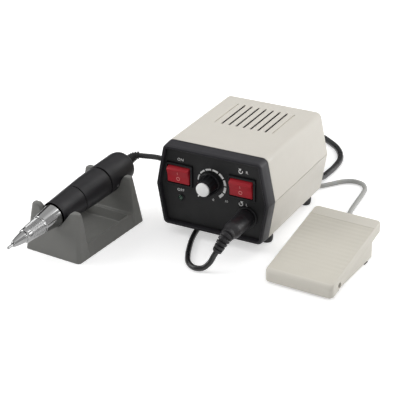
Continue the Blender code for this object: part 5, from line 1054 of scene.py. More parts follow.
@dataclass
class FrontFittings:
    """Lamp, output socket and the moulded plug with its bent strain relief."""

    box: ControlBox
    plug_tip: Spot = (0.0262, -0.0530, 0.0180)
    plug_heading: Spot = (-0.42, -0.30, -0.86)
    plug_radius: float = 0.0079
    plug_long: float = 0.0280
    relief_radius: float = 0.0062
    relief_tip_radius: float = 0.0040
    relief_ribs: int = 5
    relief_depth: float = 0.0013

    def build_lamp(self) -> None:
        """Round lamp lens in a thin black bezel."""
        place = square_place("power_lamp", TO_FRONT)
        back = -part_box("power_lamp")[1].y
        face = FIT_GAP - panel_face()
        lens = fillet([(0, back), (0.0022, back), (0.0022, face + 0.0012), (0, face + 0.0023)],
                      [0, 0, 0.0012, 0], 6, closed=False)
        show("lamp_lens", turned(lens, place, 40), LAMP, replaces=["power_lamp"])
        rim = fillet([(0.0023, face), (0.0031, face), (0.0031, face + 0.0006), (0.0027, face + 0.0009),
                      (0.0023, face + 0.0007)], 0.0002, 3)
        show("lamp_rim", turned(rim, place, 40, closed=True), SWITCH)

    def build_socket(self) -> None:
        """Round socket flange, its barrel and bore."""
        low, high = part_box("output_socket")
        front, back, face = -low.y, -high.y, FIT_GAP - panel_face()
        profile = fillet([
            (0, front - 0.0090), (0.0071, front - 0.0090), (0.0071, front), (0.0100, front), (0.0100, face),
            (0.0084, face), (0.0084, back), (0, back),
        ], [0, 0, 0.0004, 0.0006, 0, 0, 0, 0], 4, closed=False)
        flange = turned(profile, square_place("output_socket", TO_FRONT), 64)
        show("socket_flange", flange, SWITCH, replaces=["output_socket"])

    def build_plug(self) -> None:
        """Plug body turned about its axis, with its relief carried along a bend and ribbed."""
        low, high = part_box("output_socket")
        origin = np.array([(low.x + high.x) / 2, 0.0, (low.z + high.z) / 2])
        start = FIT_GAP - low.y
        end = start + self.plug_long
        grip = self.plug_radius
        body = fillet([
            (0.0066, start - 0.0080), (0.0066, start), (grip, start), (grip, start + 0.0100),
            (grip - 0.0003, start + 0.0110), (grip - 0.0002, end - 0.0030),
            (self.relief_radius + 0.0004, end + 0.0008),
        ], [0, 0, 0.0005, 0.0004, 0.0004, 0.0030, 0], 4, closed=False)
        share = np.linspace(0, 1, 90)
        groove = rib_share(np.clip(share * 1.18, 0, 1), self.relief_ribs, 0.42) * (share < 0.86)
        radii = self.relief_radius + (self.relief_tip_radius - self.relief_radius) * share
        radii = radii - self.relief_depth * groove
        radii[-3:] -= np.array([0.0001, 0.0003, 0.0007])
        tip = np.array(self.plug_tip) + np.array(self.box.shift)
        mesh = tailed(body, origin, FORWARD, end + 0.0030, tip, self.plug_heading, radii, 48)
        show("output_plug_moulding", mesh, PLUG, replaces=["output_plug"])
        log.info("plug relief ends %.1f mm up", tip[2] * 1000)

    def build(self) -> None:
        """Lamp, socket and plug."""
        self.build_lamp()
        self.build_socket()
        self.build_plug()


@dataclass
class RearFittings:
    """Cord gland with its ribbed relief, jack nut, jack plug and fuse cap."""

    box: ControlBox
    gland_tip: Spot = (0.0345, 0.1325, 0.0098)
    gland_heading: Spot = (0.05, 0.82, -0.57)
    gland_x: float = 0.0340
    gland_z: float = 0.0215
    knurl_sides: int = 144
    knurl_depth: float = 0.00025
    nut_radius: float = 0.0048

    def outside(self) -> float:
        """Distance along +Y of the rear panel's outer face, in the row frame."""
        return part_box("rear_panel")[1].y + FIT_GAP

    def build_gland(self) -> None:
        """Gland flange and ribbed tail, bent down to the table."""
        inside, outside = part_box("mains_relief")[0].y, self.outside()
        body = fillet([
            (0.0078, inside), (0.0078, inside + 0.0018), (0.0058, inside + 0.0018), (0.0058, outside),
            (0.0078, outside), (0.0078, outside + 0.0018), (0.0056, outside + 0.0027),
        ], [0, 0, 0, 0, 0, 0.0008, 0.0005], 4, closed=False)
        share = np.linspace(0, 1, 100)
        radii = 0.0055 - 0.0012 * share - 0.0008 * rib_share(share, 7, 0.5)
        origin = np.array([self.box.shift.x + self.gland_x, 0.0, self.gland_z])
        tip = np.array(self.gland_tip) + np.array(self.box.shift)
        mesh = tailed(body, origin, REARWARD, outside + 0.0036, tip, self.gland_heading, radii, 40)
        show("mains_gland", mesh, RUBBER, replaces=["mains_relief"])

    def build_fuse(self) -> None:
        """Fuse cap with a knurled side and a coin slot."""
        low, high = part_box("fuse_holder")
        outside, back = self.outside(), high.y
        side = np.arange(self.knurl_sides)
        angle = 2 * math.pi * side / self.knurl_sides
        knurl = self.knurl_depth * (side // 3 % 2)
        rows = [
            (0.0056, low.y, 0), (0.0056, outside, 0), (0.0078, outside, 0), (0.0078, outside + 0.0008, 1),
            (0.0078, back - 0.0014, 1), (0.0074, back - 0.0006, 0.5), (0.0066, back - 0.0001, 0),
            (0.0062, back, 0),
        ]
        radius, along, depth = np.array(rows).T
        around = radius[:, None] - knurl[None, :] * depth[:, None]
        coin_slot = slab((-0.0090, -0.0008, back - 0.0012), (0.0090, 0.0008, back + OVERRUN))
        mesh = boolean(mesh_of(ring_grid(around, along, angle)), coin_slot)
        mesh.transform(square_place("fuse_holder", TO_REAR))
        show("fuse_cap", mesh, SWITCH, replaces=["fuse_holder"])

    def build_jack(self) -> None:
        """Hexagonal jack nut, and the round jack plug with its grip rings."""
        outside, end = self.outside(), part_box("pedal_jack")[1].y
        place = square_place("pedal_jack", TO_REAR)
        hexagon = np.linspace(0, 2 * math.pi, 7)[:-1]
        flat = np.column_stack([np.cos(hexagon), np.sin(hexagon)]) * self.nut_radius
        loops = [fillet(flat * share, 0.0003, 3) for share in (1, 1, 0.92)]
        bore = turned([(0.0022, outside - OVERRUN), (0.0022, end + OVERRUN)], Matrix(), 32)
        nut = boolean(mesh_of(stacked(loops, (outside, end - 0.0004, end), 2)), bore)
        nut.transform(place)
        show("jack_nut", nut, STEEL)
        low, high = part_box("pedal_jack_plug")
        tip, back = low.y, high.y
        face, tail = end + FIT_GAP, back - 0.0100
        grip = np.linspace(0, 1, 60)
        radius = 0.0042 - 0.0002 * rib_share(grip, 9, 0.6) * (grip > 0.3)
        sleeve = np.column_stack([radius, face + 0.0002 + grip * (tail - face - 0.0006)])
        profile = np.vstack([
            [(0, tip), (0.0010, tip + 0.0003), (0.00172, tip + 0.0018), (0.0014, tip + 0.0030),
             (0.00175, tip + 0.0036), (0.00175, face), (0.0040, face)],
            sleeve,
            [(0.0038, tail), (0.0027, tail + 0.0004), (0.0025, back - 0.0006), (0.0023, back), (0, back)],
        ])
        show("jack_plug_body", turned(profile, place, 40), RUBBER, replaces=["pedal_jack_plug"])

    def build(self) -> None:
        """Gland, fuse cap and jack."""
        self.build_gland()
        self.build_fuse()
        self.build_jack()


@dataclass
class Cradle:
    """Grey moulding: a low tray with a horned saddle wall at each end, softened all over."""

    corner: Vector = field(default_factory=lambda: Vector((-0.137149, -0.085478, 0.0)))
    yaw_deg: float = -4.22
    wide: float = 0.0582
    long: float = 0.0958
    side_height: float = 0.0117
    side_draft: float = 0.0028
    side_rim: float = 0.0022
    end_draft: float = 0.0020
    end_rim: float = 0.0156
    pocket_draft: float = 0.0010
    floor: float = 0.0025
    end_foot: float = 0.0150
    end_top: float = 0.0055
    end_lean: float = 0.0070
    near_height: float = 0.0428
    far_height: float = 0.0456
    horn_radius: float = 0.0034
    horn_inset: float = 0.0042
    notch_half: float = 0.0174
    notch_foot_half: float = 0.0060
    horn_foot: float = 0.0330
    corner_radius: float = 0.0034
    tray_radius: float = 0.0012
    saddle_clear: float = 0.0020
    seat_gap: float = 0.0005
    voxel: float = 0.0005
    edge_rounds: int = 3
    horn_rounds: int = 24
    flat_below: float = 0.0004

    def place(self) -> Matrix:
        """Axes of the cradle: u to the right along its near edge, v to the rear."""
        return Matrix.Translation(self.corner) @ Matrix.Rotation(math.radians(self.yaw_deg), 4, "Z")

    def plan(self, across: float, along: float, radius: float, steps: int) -> Points:
        """Rounded rectangle of the plan, drawn in at the sides and at the ends."""
        half = np.array([self.wide, self.long]) / 2
        return fillet(rectangle(*(half - (across, along))), radius, steps) + half

    def tray_mesh(self) -> Mesh:
        """Tray as stacked rounded rectangles, each with its inset at the sides and at the ends."""
        side, end = self.side_draft + self.side_rim, self.end_draft + self.end_rim
        levels = [
            (0.0, 0.0, 0.0), (self.side_draft, self.end_draft, self.side_height),
            (side, end, self.side_height), (side + self.pocket_draft, end + self.pocket_draft, self.floor),
        ]
        loops = [self.plan(across, along, self.tray_radius, 4) for across, along, _ in levels]
        return mesh_of(stacked(loops, [level[2] for level in levels], 2))

    def wall_mesh(self, height: float, edge: float, inward: int, notch_z: float) -> Mesh:
        """End wall: an outline in (u, z) with two horns, leaning inward and thinning upward.

        Args:
            height: Height of the horns.
            edge: Place of the wall's foot along v.
            inward: Sense of v towards the middle of the cradle, 1 or -1.
            notch_z: Height of the low stretch between the horns.

        Returns:
            The mesh in the cradle's axes.
        """
        half = self.wide / 2
        tip = half - self.horn_inset
        corners = [
            (-half, 0), (half, 0), (tip, height), (self.notch_half, height), (self.notch_foot_half, notch_z),
            (-self.notch_foot_half, notch_z), (-self.notch_half, height), (-tip, height),
        ]
        horn = self.horn_radius
        outline = fillet(corners, [0, 0, horn, horn, 0.006, 0.006, horn, horn], 10)
        u, z = outline[:, 0] + half, outline[:, 1]
        rows = []
        for foot, top in ((0.0, self.end_lean), (self.end_foot, self.end_lean + self.end_top)):
            v = edge + inward * (foot + (top - foot) * z / height)
            rows.append(np.column_stack([u, v, z]))
        return mesh_of(np.stack(rows))

    def outer_mesh(self) -> Mesh:
        """Leaning block with rounded corners that bounds the tray and the walls."""
        levels = (-OVERRUN, self.far_height + OVERRUN)
        loops = []
        for z in levels:
            share = z / self.near_height
            across, along = self.horn_inset * share - MERGE, self.end_lean * share - MERGE
            loops.append(self.plan(across, along, self.corner_radius, 6))
        return mesh_of(stacked(loops, levels, 2))

    def build(self, handpiece: "Handpiece") -> None:
        """Walls and tray joined, the handpiece's seat cut out, and every edge rounded."""
        body = self.tray_mesh()
        ends = (
            (self.near_height, 0.0, 1, handpiece.front_radius),
            (self.far_height, self.long, -1, handpiece.rear_radius),
        )
        for height, edge, inward, radius in ends:
            axis_z = handpiece.height_at(edge + inward * self.end_foot / 2)
            wall = self.wall_mesh(height, edge, inward, axis_z - radius + self.saddle_clear)
            body = boolean(body, wall, "UNION")
        body = boolean(body, self.outer_mesh(), "INTERSECT")
        body.transform(self.place())
        body = boolean(body, handpiece.envelope(self.seat_gap))
        piece = show("cradle_moulding", body, CRADLE, replaces=["cradle"])
        self.soften(piece)

    def soften(self, piece: Piece) -> None:
        """Even quads all over, small rounds on the edges and large ones on the horns, applied at once."""
        net = piece.modifiers.new("net", "REMESH")
        net.mode = "VOXEL"
        net.voxel_size = self.voxel
        piece.data = evaluated(piece)
        piece.modifiers.clear()
        horns = piece.vertex_groups.new(name="horns")
        for point in piece.data.vertices:
            share = (point.co.z - self.horn_foot) / (self.near_height - self.horn_foot)
            if share > 0:
                horns.add([point.index], min(1.0, share), "REPLACE")
        for name, rounds, group in (("edges", self.edge_rounds, ""), ("tips", self.horn_rounds, "horns")):
            relax = piece.modifiers.new(name, "SMOOTH")
            relax.factor = 0.5
            relax.iterations = rounds
            relax.vertex_group = group
        result = evaluated(piece)
        piece.modifiers.clear()
        piece.data = result
        piece.vertex_groups.clear()
        result.shade_smooth()
        result.materials.clear()
        result.materials.append(CRADLE.material())
        points = np.zeros(len(result.vertices) * 3, np.float32)
        result.vertices.foreach_get("co", points)
        points = points.reshape(-1, 3)
        points[:, 2] = np.where(points[:, 2] < self.flat_below, 0.0, points[:, 2])
        result.vertices.foreach_set("co", points.ravel())


@dataclass
class Handpiece:
    """Motor handpiece on its own axis: black casings, chromed front, boot and tool pin."""

    origin: Vector = field(default_factory=Vector)
    heading: Vector = field(default_factory=Vector)
    front_radius: float = 0.0114
    ring_1_radius: float = 0.0129
    ring_2_radius: float = 0.0141
    rear_radius: float = 0.0143
    can_radius: float = 0.0113
    front_from: float = 0.0058
    front_to: float = 0.0354
    chuck_from: float = 0.0362
    chuck_to: float = 0.0711
    rear_from: float = 0.0719
    rear_to: float = 0.1104
    grip_from: float = -0.0343
    grip_to: float = -0.0131
    nose_from: float = -0.0482
    nose_to: float = -0.0303
    pin_tip: float = -0.0547
    pin_end: float = -0.0186
    bore_gap: float = 0.0003
    cone_bore: float = 0.0030
    ring_share: tuple[float, float] = (0.24, 0.95)
    ring_depth: float = 0.0002
    set_screw_deg: float = -20.0
    boot_tip: Spot = (-0.0950, 0.0287, 0.0464)
    boot_heading: Spot = (0.93, 0.36, -0.06)

    def __post_init__(self) -> None:
        """Takes the axis from the spindle's joint."""
        spin = next(joint for joint in FRAME["joints"] if joint["name"] == "spindle_spin")
        self.origin, self.heading = Vector(spin["pos_m"]), Vector(spin["axis"]).normalized()

    def place(self) -> Matrix:
        """Axes of the handpiece: Z runs from the tool to the cord, and Y points to its upper side."""
        across = self.heading.cross(Vector((0, 0, 1))).normalized()
        above = across.cross(self.heading)
        turn = Matrix((across, above, self.heading)).transposed()
        return Matrix.Translation(self.origin) @ turn.to_4x4()

    def height_at(self, along: float) -> float:
        """Height of the axis at a level distance from its origin."""
        return self.origin.z + along * self.heading.z / math.hypot(self.heading.x, self.heading.y)

    def envelope(self, gap: float) -> Mesh:
        """Solid round the handpiece, grown by a gap, that the cradle's saddles are cut to."""
        profile = np.array([
            (self.front_radius * 0.6, self.grip_from), (0.0078, self.grip_to),
            (0.0103, self.front_from - 0.0003), (self.front_radius, self.front_from),
            (self.ring_1_radius, self.front_to), (self.ring_2_radius, self.chuck_to),
            (self.rear_radius, self.rear_from), (self.rear_radius, self.rear_to),
        ]) + np.array([gap, 0.0])
        return turned(profile, self.place(), 72)

    def casing(self, name: str, outside: Sequence[tuple[float, float]], inner: float, body: str,
               node: str, radii: Sequence[float]) -> None:
        """Adds a black casing.

        Args:
            name: Name of the piece.
            outside: Its outside line, rows of (radius, distance along the axis).
            inner: Radius of its bore.
            body: Body that it moves with.
            node: Node that it stands for.
            radii: Round at each corner of the outside line.
        """
        start, end = outside[0][1], outside[-1][1]
        loop = list(outside) + [(inner, end), (inner, start)]
        profile = fillet(loop, [*radii, 0.0002, 0.0002], 6)
        show(name, turned(profile, self.place(), 96, closed=True), HANDPIECE, body, [node])

    def build_casings(self) -> None:
        """Three casings with thin gaps between them."""
        bore = self.can_radius + self.bore_gap
        front, chuck, rear = self.ring_1_radius, self.ring_2_radius, self.rear_radius
        self.casing("casing_front", [(self.front_radius, self.front_from), (front, self.front_to)],
                    bore, "handpiece", "front_sleeve", [0.0005, 0.0004])
        bulge = (front + chuck) / 2 + 0.0003
        middle = (self.chuck_from + self.chuck_to) / 2
        step, back = chuck - 0.0006, self.chuck_to
        self.casing("casing_chuck", [
            (front, self.chuck_from), (bulge, middle), (chuck, back - 0.0009), (step, back - 0.0007),
            (step, back),
        ], bore, "chuck_sleeve", "chuck_sleeve", [0.0004, 0.05, 0.0003, 0, 0.0002])
        back = self.rear_to
        self.casing("casing_rear", [
            (rear, self.rear_from), (rear, back - 0.0092), (rear - 0.0010, back - 0.0048),
            (rear - 0.0058, back), (0.0046, back),
        ], 0.0045, "handpiece", "rear_sleeve", [0.0004, 0.0090, 0.0050, 0.0022, 0.0006])

    def chromed(self, name: str, profile: Points, sides: int, node: str) -> None:
        """Chromed ring turned from a closed profile."""
        ring = turned(profile, self.place(), sides, closed=True)
        show(name, ring, CHROME, "handpiece", [node])

    def build_chrome(self) -> None:
        """Chromed taper, ringed grip and ogive nose."""
        bore, low, high = self.cone_bore, self.grip_to + 0.0003, self.front_from - 0.0003
        taper = fillet([
            (bore, low), (0.0074, low), (0.0078, self.grip_to + 0.0009), (0.0103, self.front_from - 0.0010),
            (0.0099, high), (bore, high),
        ], [0, 0.0002, 0.0004, 0.0004, 0.0002, 0], 5)
        self.chromed("chrome_taper", taper, 96, "taper_sleeve")
        low, high = self.grip_from, self.grip_to
        along = np.linspace(0, 1, 181)
        ring = low + (high - low) * along
        first, last = self.ring_share
        grooves = rib_share((along - first) / (last - first), 15, 0.8) * (along > first) * (along < last)
        lip = np.clip(1 - (ring - low) / 0.0016, 0, 1)
        radius = 0.0060 + 0.0017 * along - self.ring_depth * grooves
        radius = radius - 0.0011 * (1 - np.sqrt(np.clip(1 - lip ** 2, 0, 1)))
        inside = [(bore, high), (bore, low + 0.0090), (0.0053, low + 0.0090), (0.0053, low + 0.0003)]
        self.chromed("chrome_grip", np.vstack([np.column_stack([radius, ring]), inside]), 96, "grip_ring")
        low, high = self.nose_from, self.nose_to
        share = np.linspace(0, 1, 40)
        nose = np.column_stack([0.0027 + 0.0023 * np.sin(share * math.pi / 2) ** 0.9,
                                low + 0.0012 + (high - low - 0.0012) * share])
        tip = [(0.0013, low), (0.0021, low), (0.0025, low + 0.0004)]
        tail = [(0.0050, high + 0.0078), (0.0013, high + 0.0078)]
        self.chromed("chrome_nose", np.vstack([tip, nose, tail]), 80, "nose_cone")

    def build_pin(self) -> None:
        """Polished shank in the collet, with a rounded end."""
        low, high = self.pin_tip, self.pin_end
        profile = fillet([(0, low), (0.00117, low), (0.00117, high), (0, high)],
                         [0, 0.0007, 0.0001, 0], 6, closed=False)
        show("shank", turned(profile, self.place(), 32), CHROME, "tool_pin", ["tool_pin"])

    def build_boot(self, box: ControlBox) -> None:
        """Ribbed boot: straight out of the casing, then bent towards the box."""
        place = self.place()
        axis = np.array(place.to_3x3() @ Vector((0, 0, 1)))
        origin = np.array(place.translation)
        back = self.rear_to
        body = fillet([
            (0.0058, back - 0.0053), (0.0058, back - 0.0033), (0.0042, back - 0.0033),
            (0.0042, back + 0.0003), (0.0053, back + 0.0003), (0.0052, back + 0.0012),
        ], [0, 0, 0, 0, 0.0003, 0], 3, closed=False)
        tip = np.array(self.boot_tip) + np.array(box.shift)
        share = np.linspace(0, 1, 120)
        radii = 0.0050 - 0.0015 * share - 0.0010 * rib_share(share, 8, 0.5)
        mesh = tailed(body, origin, axis, back + 0.0020, tip, self.boot_heading, radii, 40)
        show("cord_boot", mesh, RUBBER, "handpiece", ["handpiece_relief"])

    def build_set_screw(self) -> None:
        """Small bright set screw near the front of the rear casing."""
        turn = Matrix.Rotation(math.radians(self.set_screw_deg), 4, "Z")
        spot = Matrix.Translation((self.rear_radius - 0.0003, 0, self.rear_from + 0.0078))
        mesh = Screw(0.0015, 0.0008, 0.0004, 0.0004).mesh(self.place() @ turn @ spot @ TO_RIGHT)
        show("set_screw", mesh, STEEL, "handpiece")

    def build(self, box: ControlBox) -> None:
        """All that shows of the handpiece."""
        self.build_casings()
        self.build_chrome()
        self.build_pin()
        self.build_boot(box)
        self.build_set_screw()


@dataclass
class FootPedal:
    """Rocking cover with a ribbed tread, base tray, hinge pin and cord boot."""

    corner: Vector = field(default_factory=lambda: Vector((0.071001, -0.045378, 0.0)))
    yaw_deg: float = -2.90
    wide: float = 0.0618
    long: float = 0.0915
    toe_height: float = 0.0125
    heel_height: float = 0.0313
    skirt_toe_z: float = 0.0016
    skirt_heel_z: float = 0.0232
    skin: float = 0.0022
    corner_radius: float = 0.0040
    edge_bevel: float = 0.00015
    edge: float = 0.0014
    toe_edge: float = 0.0036
    tread_margin: float = 0.0014
    tread_toe: float = 0.0045
    tread_fade: float = 0.0200
    tread_heel: float = 0.0798
    tread_sink: float = 0.0002
    tread_ribs: int = 16
    rib_height: float = 0.00007
    pin_sunk: float = 0.0012
    hinge_v: float = 0.0130
    hinge_z: float = 0.0085
    hinge_hole: float = 0.0025
    hinge_pin: float = 0.0015
    boss_v: float = 0.0450
    boss_radius: float = 0.0030
    press_slope: float = 0.0527
    boot_u: float = 0.0225
    boot_z: float = 0.0110
    boot_end: float = 0.0938

    def place(self) -> Matrix:
        """Axes of the pedal: u to the right along its near edge, v to the rear."""
        return Matrix.Translation(self.corner) @ Matrix.Rotation(math.radians(self.yaw_deg), 4, "Z")

    def top(self, v: Points) -> Points:
        """Height of the cover's top at v."""
        return self.toe_height + (self.heel_height - self.toe_height) * v / self.long

    def skirt(self, v: Points) -> Points:
        """Height of the skirt's lower edge at v."""
        return self.skirt_toe_z + (self.skirt_heel_z - self.skirt_toe_z) * v / self.long

    def plan(self, inset: float, height: Callable[[Points], Points]) -> Points:
        """Rounded rectangle in plan whose height is a function of v."""
        half = np.array([self.wide, self.long]) / 2
        radius = max(self.corner_radius - inset, self.corner_radius / 3)
        loop = fillet(rectangle(*(half - inset)), radius, 8) + half
        return np.column_stack([loop, height(loop[:, 1])])

    def cover_mesh(self) -> Mesh:
        """Skirted lid.

        Its edge is a quarter round of radius e: at turn q the loop is drawn in by e (1 - cos q)
        and lies e (1 - sin q) below the top. At the toe the round is the larger toe edge.
        """
        rows = []
        for q in np.linspace(math.pi / 2, 0, 9):
            row = self.plan(self.edge * (1 - math.cos(q)), self.top)
            toe = 1 - row[:, 1] / self.long
            row[:, 1] += (self.toe_edge - self.edge) * toe * (1 - math.cos(q))
            edge = self.edge + (self.toe_edge - self.edge) * toe
            row[:, 2] = self.top(row[:, 1]) - edge * (1 - math.sin(q))
            rows.append(row)
        rows += [
            self.plan(0, lambda v: self.skirt(v) + 0.0004), self.plan(0.0004, self.skirt),
            self.plan(self.skin, self.skirt), self.plan(self.skin, lambda v: self.top(v) - self.skin),
        ]
        return mesh_of(np.stack(rows))

    def tread_cutter(self) -> Mesh:
        """Slab over the tread whose underside is a row of smooth ribs.

        At v its underside lies the sink below the top, plus rib height (1 - cos(2 pi v / p)) / 2
        for ribs of pitch p. Towards the toe both fade out in a smooth step.
        """
        v = np.linspace(self.tread_toe, self.tread_heel, self.tread_ribs * 10 + 1)
        phase = (v - self.tread_toe) / (self.tread_heel - self.tread_toe) * self.tread_ribs
        fade = np.clip((v - self.tread_toe) / self.tread_fade, 0, 1)
        fade = fade ** 2 * (3 - 2 * fade)
        ribs = self.rib_height * (1 - np.cos(2 * math.pi * phase)) / 2
        z = self.top(v) - fade * (self.tread_sink - ribs) + MERGE
        above = self.heel_height + OVERRUN
        section = np.vstack([np.column_stack([v, z]), [(self.tread_heel, above), (self.tread_toe, above)]])
        return mesh_of(stacked([section, section], (self.tread_margin, self.wide - self.tread_margin), 0))

    def paint_tread(self, lid: Piece) -> None:
        """Gives the faces of the sunk tread their own, coarser finish."""
        lid.data.materials.append(TREAD_IVORY.material())
        to_pedal = self.place().inverted()
        for face in lid.data.polygons:
            u, v, z = to_pedal @ face.center
            across = self.tread_margin < u < self.wide - self.tread_margin
            if across and self.tread_toe < v < self.tread_heel and z > self.top(v) - self.skin / 2:
                face.material_index = 1

    def base_mesh(self) -> Mesh:
        """Open tray under the cover."""
        def wall_top(v: Points) -> Points:
            """Height of the tray's wall, clear of the cover when it is pressed."""
            return self.top(v) - self.skin - 0.0010 - np.maximum(0, v - self.hinge_v) * self.press_slope

        def loop(inset: float, toe: float, heel: float, height: Callable[[Points], Points]) -> Points:
            """Rounded rectangle in plan between two values of v, drawn in at its sides."""
            middle = np.array([self.wide / 2, (toe + heel) / 2])
            outline = fillet(rectangle(self.wide / 2 - inset, (heel - toe) / 2), 0.0016, 4) + middle
            return np.column_stack([outline, height(outline[:, 1])])

        def level(z: float) -> Callable[[Points], Points]:
            """Height function of a flat level."""
            return lambda v: np.full(len(v), z)

        return mesh_of(np.stack([
            loop(0.0034, 0.0044, 0.0811, level(0.0012)), loop(0.0030, 0.0040, 0.0815, level(0.0016)),
            loop(0.0030, 0.0040, 0.0815, wall_top), loop(0.0048, 0.0058, 0.0797, wall_top),
            loop(0.0048, 0.0058, 0.0797, level(0.0032)),
        ]))

    def build(self) -> None:
        """Cover with its tread, base tray, hinge pin and cord boot."""
        place = self.place()
        hinge = Matrix.Translation((0, self.hinge_v, self.hinge_z)) @ TO_RIGHT
        hole = turned([(self.hinge_hole, -OVERRUN), (self.hinge_hole, self.wide + OVERRUN)], hinge, 32)
        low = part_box("switch_plunger")[1].z + FIT_GAP
        boss = turned([(self.boss_radius, low), (self.boss_radius, self.top(self.boss_v) - self.skin / 2)],
                      Matrix.Translation((self.wide / 2, self.boss_v, 0)), 32)
        cover = boolean(self.cover_mesh(), self.tread_cutter())
        cover = boolean(boolean(cover, hole), boss, "UNION")
        cover.transform(place)
        lid = show("pedal_lid", cover, PEDAL_IVORY, "pedal_cover", ["pedal_cover"],
                   bevel=self.edge_bevel)
        self.paint_tread(lid)
        base = self.base_mesh()
        base.transform(place)
        show("pedal_tray", base, PEDAL_IVORY, replaces=["pedal_base"])
        left, right, radius = self.pin_sunk, self.wide - self.pin_sunk, self.hinge_pin
        pin = fillet([(0, left), (radius, left), (radius, right), (0, right)],
                     [0, 0.0003, 0.0003, 0], 4, closed=False)
        show("hinge_pin", turned(pin, place @ hinge, 32), STEEL, replaces=["pedal_hinge_pin"])
        share = np.linspace(0, 1, 60)
        radii = 0.0042 - 0.0013 * share - 0.0005 * rib_share(share, 4, 0.6)
        collar = [(0, 0.0776), (0.0042, 0.0776), (0.0042, 0.0794), (0.0030, 0.0794), (0.0030, 0.0818)]
        tail = np.column_stack([radii, 0.0818 + 0.0120 * share])
        boot = turned(np.vstack([collar, tail, [(0, self.boot_end)]]),
                      place @ Matrix.Translation((self.boot_u, 0, self.boot_z)) @ TO_REAR, 40)
        show("pedal_boot", boot, CORD_GREY, replaces=["pedal_relief"])


@dataclass
class Coil:
    """Cord wound flat in layers: it spirals in and out, and climbs where it reverses."""

    centre: tuple[float, float]
    diameter: float
    mid_diameters: float
    turns: float
    layers: int
    start_deg: float
    sense: int
    turn_gap: float = 0.0006
    floor_gap: float = 0.0001
    per_turn: int = 40
    tie_lift: float = 0.00003

    def points(self) -> Points:
        """Centre line of the winding.

        At turn n the angle is start + 2 pi n. The radius falls and rises by one pitch a turn,
        reversing at each layer, and the height takes a smooth step of one pitch in the half turn
        round each reversal.
        """
        pitch = self.diameter + self.turn_gap
        per_layer = self.turns / self.layers
        turn = np.linspace(0, self.turns, round(self.turns * self.per_turn) + 1)
        swing = (turn / per_layer) % 2
        middle = self.mid_diameters * self.diameter / 2
        radius = middle + pitch * per_layer * (0.5 - np.minimum(swing, 2 - swing))
        step = np.arange(1, self.layers)[:, None]
        rise = np.clip((turn[None] - step * per_layer) * 2 + 0.5, 0, 1)
        height = self.diameter / 2 + self.floor_gap + pitch * (rise ** 2 * (3 - 2 * rise)).sum(axis=0)
        angle = math.radians(self.start_deg) + self.sense * 2 * math.pi * turn
        x, y = self.centre
        line = np.column_stack([x + radius * np.cos(angle), y + radius * np.sin(angle), height])
        lead_in, lead_out = self.heading(0) * self.diameter, self.heading(self.turns) * self.diameter
        return np.vstack([line[0] - lead_in, line, line[-1] + lead_out])

    def heading(self, turn: float) -> Points:
        """Level direction of the cord after some turns."""
        angle = math.radians(self.start_deg) + self.sense * 2 * math.pi * turn
        return np.array([-math.sin(angle), math.cos(angle), 0.0]) * self.sense

    def tie(self, angle_deg: float, width: float = 0.0045, thick: float = 0.0006) -> Mesh:
        """Strap closed round the winding's section at one angle, in the coil's own axes."""
        pitch = self.diameter + self.turn_gap
        half = pitch * self.turns / self.layers / 2 + self.diameter / 2 + thick
        high = self.diameter + pitch * (self.layers - 1) + self.floor_gap + thick
        middle = self.mid_diameters * self.diameter / 2
        tall = (high - 0.00005) / 2
        shift = (middle, high / 2 + self.tie_lift)
        outer = fillet(rectangle(half, tall), self.diameter / 2, 6) + shift
        inner = fillet(rectangle(half - thick, tall - thick), self.diameter / 2, 6) + shift
        edges = np.array([-1, 1, 1, -1]) * width / 2
        mesh = mesh_of(stacked([outer, outer, inner, inner], edges, 1), along=True)
        turn = Matrix.Rotation(math.radians(angle_deg), 4, "Z")
        mesh.transform(Matrix.Translation((*self.centre, 0)) @ turn)
        return mesh


def smooth_path(points: Points, spacing: float) -> Points:
    """Evenly spaced points on a smooth curve through the given ones.

    Centripetal Catmull-Rom: between two points the curve is the repeated blend of the lines
    through the four nearest, with knots set apart by the square root of their distances.

    Args:
        points: Points to pass through; the first and last only set the directions of the ends.
        spacing: Distance between the samples.

    Returns:
        The samples from the second point to the last but one.
    """
    p0, p1, p2, p3 = points[:-3], points[1:-2], points[2:-1], points[3:]

    def knot(a: Points, b: Points) -> Points:
        """Knot distance between two rows of points, shaped to multiply them."""
        return np.sqrt(np.linalg.norm(b - a, axis=1))[:, None, None]

    t1 = knot(p0, p1)
    t2 = t1 + knot(p1, p2)
    t3 = t2 + knot(p2, p3)
    t = t1 + (t2 - t1) * np.linspace(0, 1, 24, endpoint=False)[None, :, None]
    p0, p1, p2, p3 = (p[:, None] for p in (p0, p1, p2, p3))
    a1 = (t1 - t) / t1 * p0 + t / t1 * p1
    a2 = (t2 - t) / (t2 - t1) * p1 + (t - t1) / (t2 - t1) * p2
    a3 = (t3 - t) / (t3 - t2) * p2 + (t - t2) / (t3 - t2) * p3
    b1 = (t2 - t) / t2 * a1 + t / t2 * a2
    b2 = (t3 - t) / (t3 - t1) * a2 + (t - t1) / (t3 - t1) * a3
    dense = ((t2 - t) / (t2 - t1) * b1 + (t - t1) / (t2 - t1) * b2).reshape(-1, 3)
    dense = np.vstack([dense, points[-2]])
    along = np.concatenate([[0], np.cumsum(np.linalg.norm(np.diff(dense, axis=0), axis=1))])
    wanted = np.linspace(0, along[-1], max(2, round(along[-1] / spacing)))
    return np.stack([np.interp(wanted, along, dense[:, k]) for k in range(3)], axis=1)


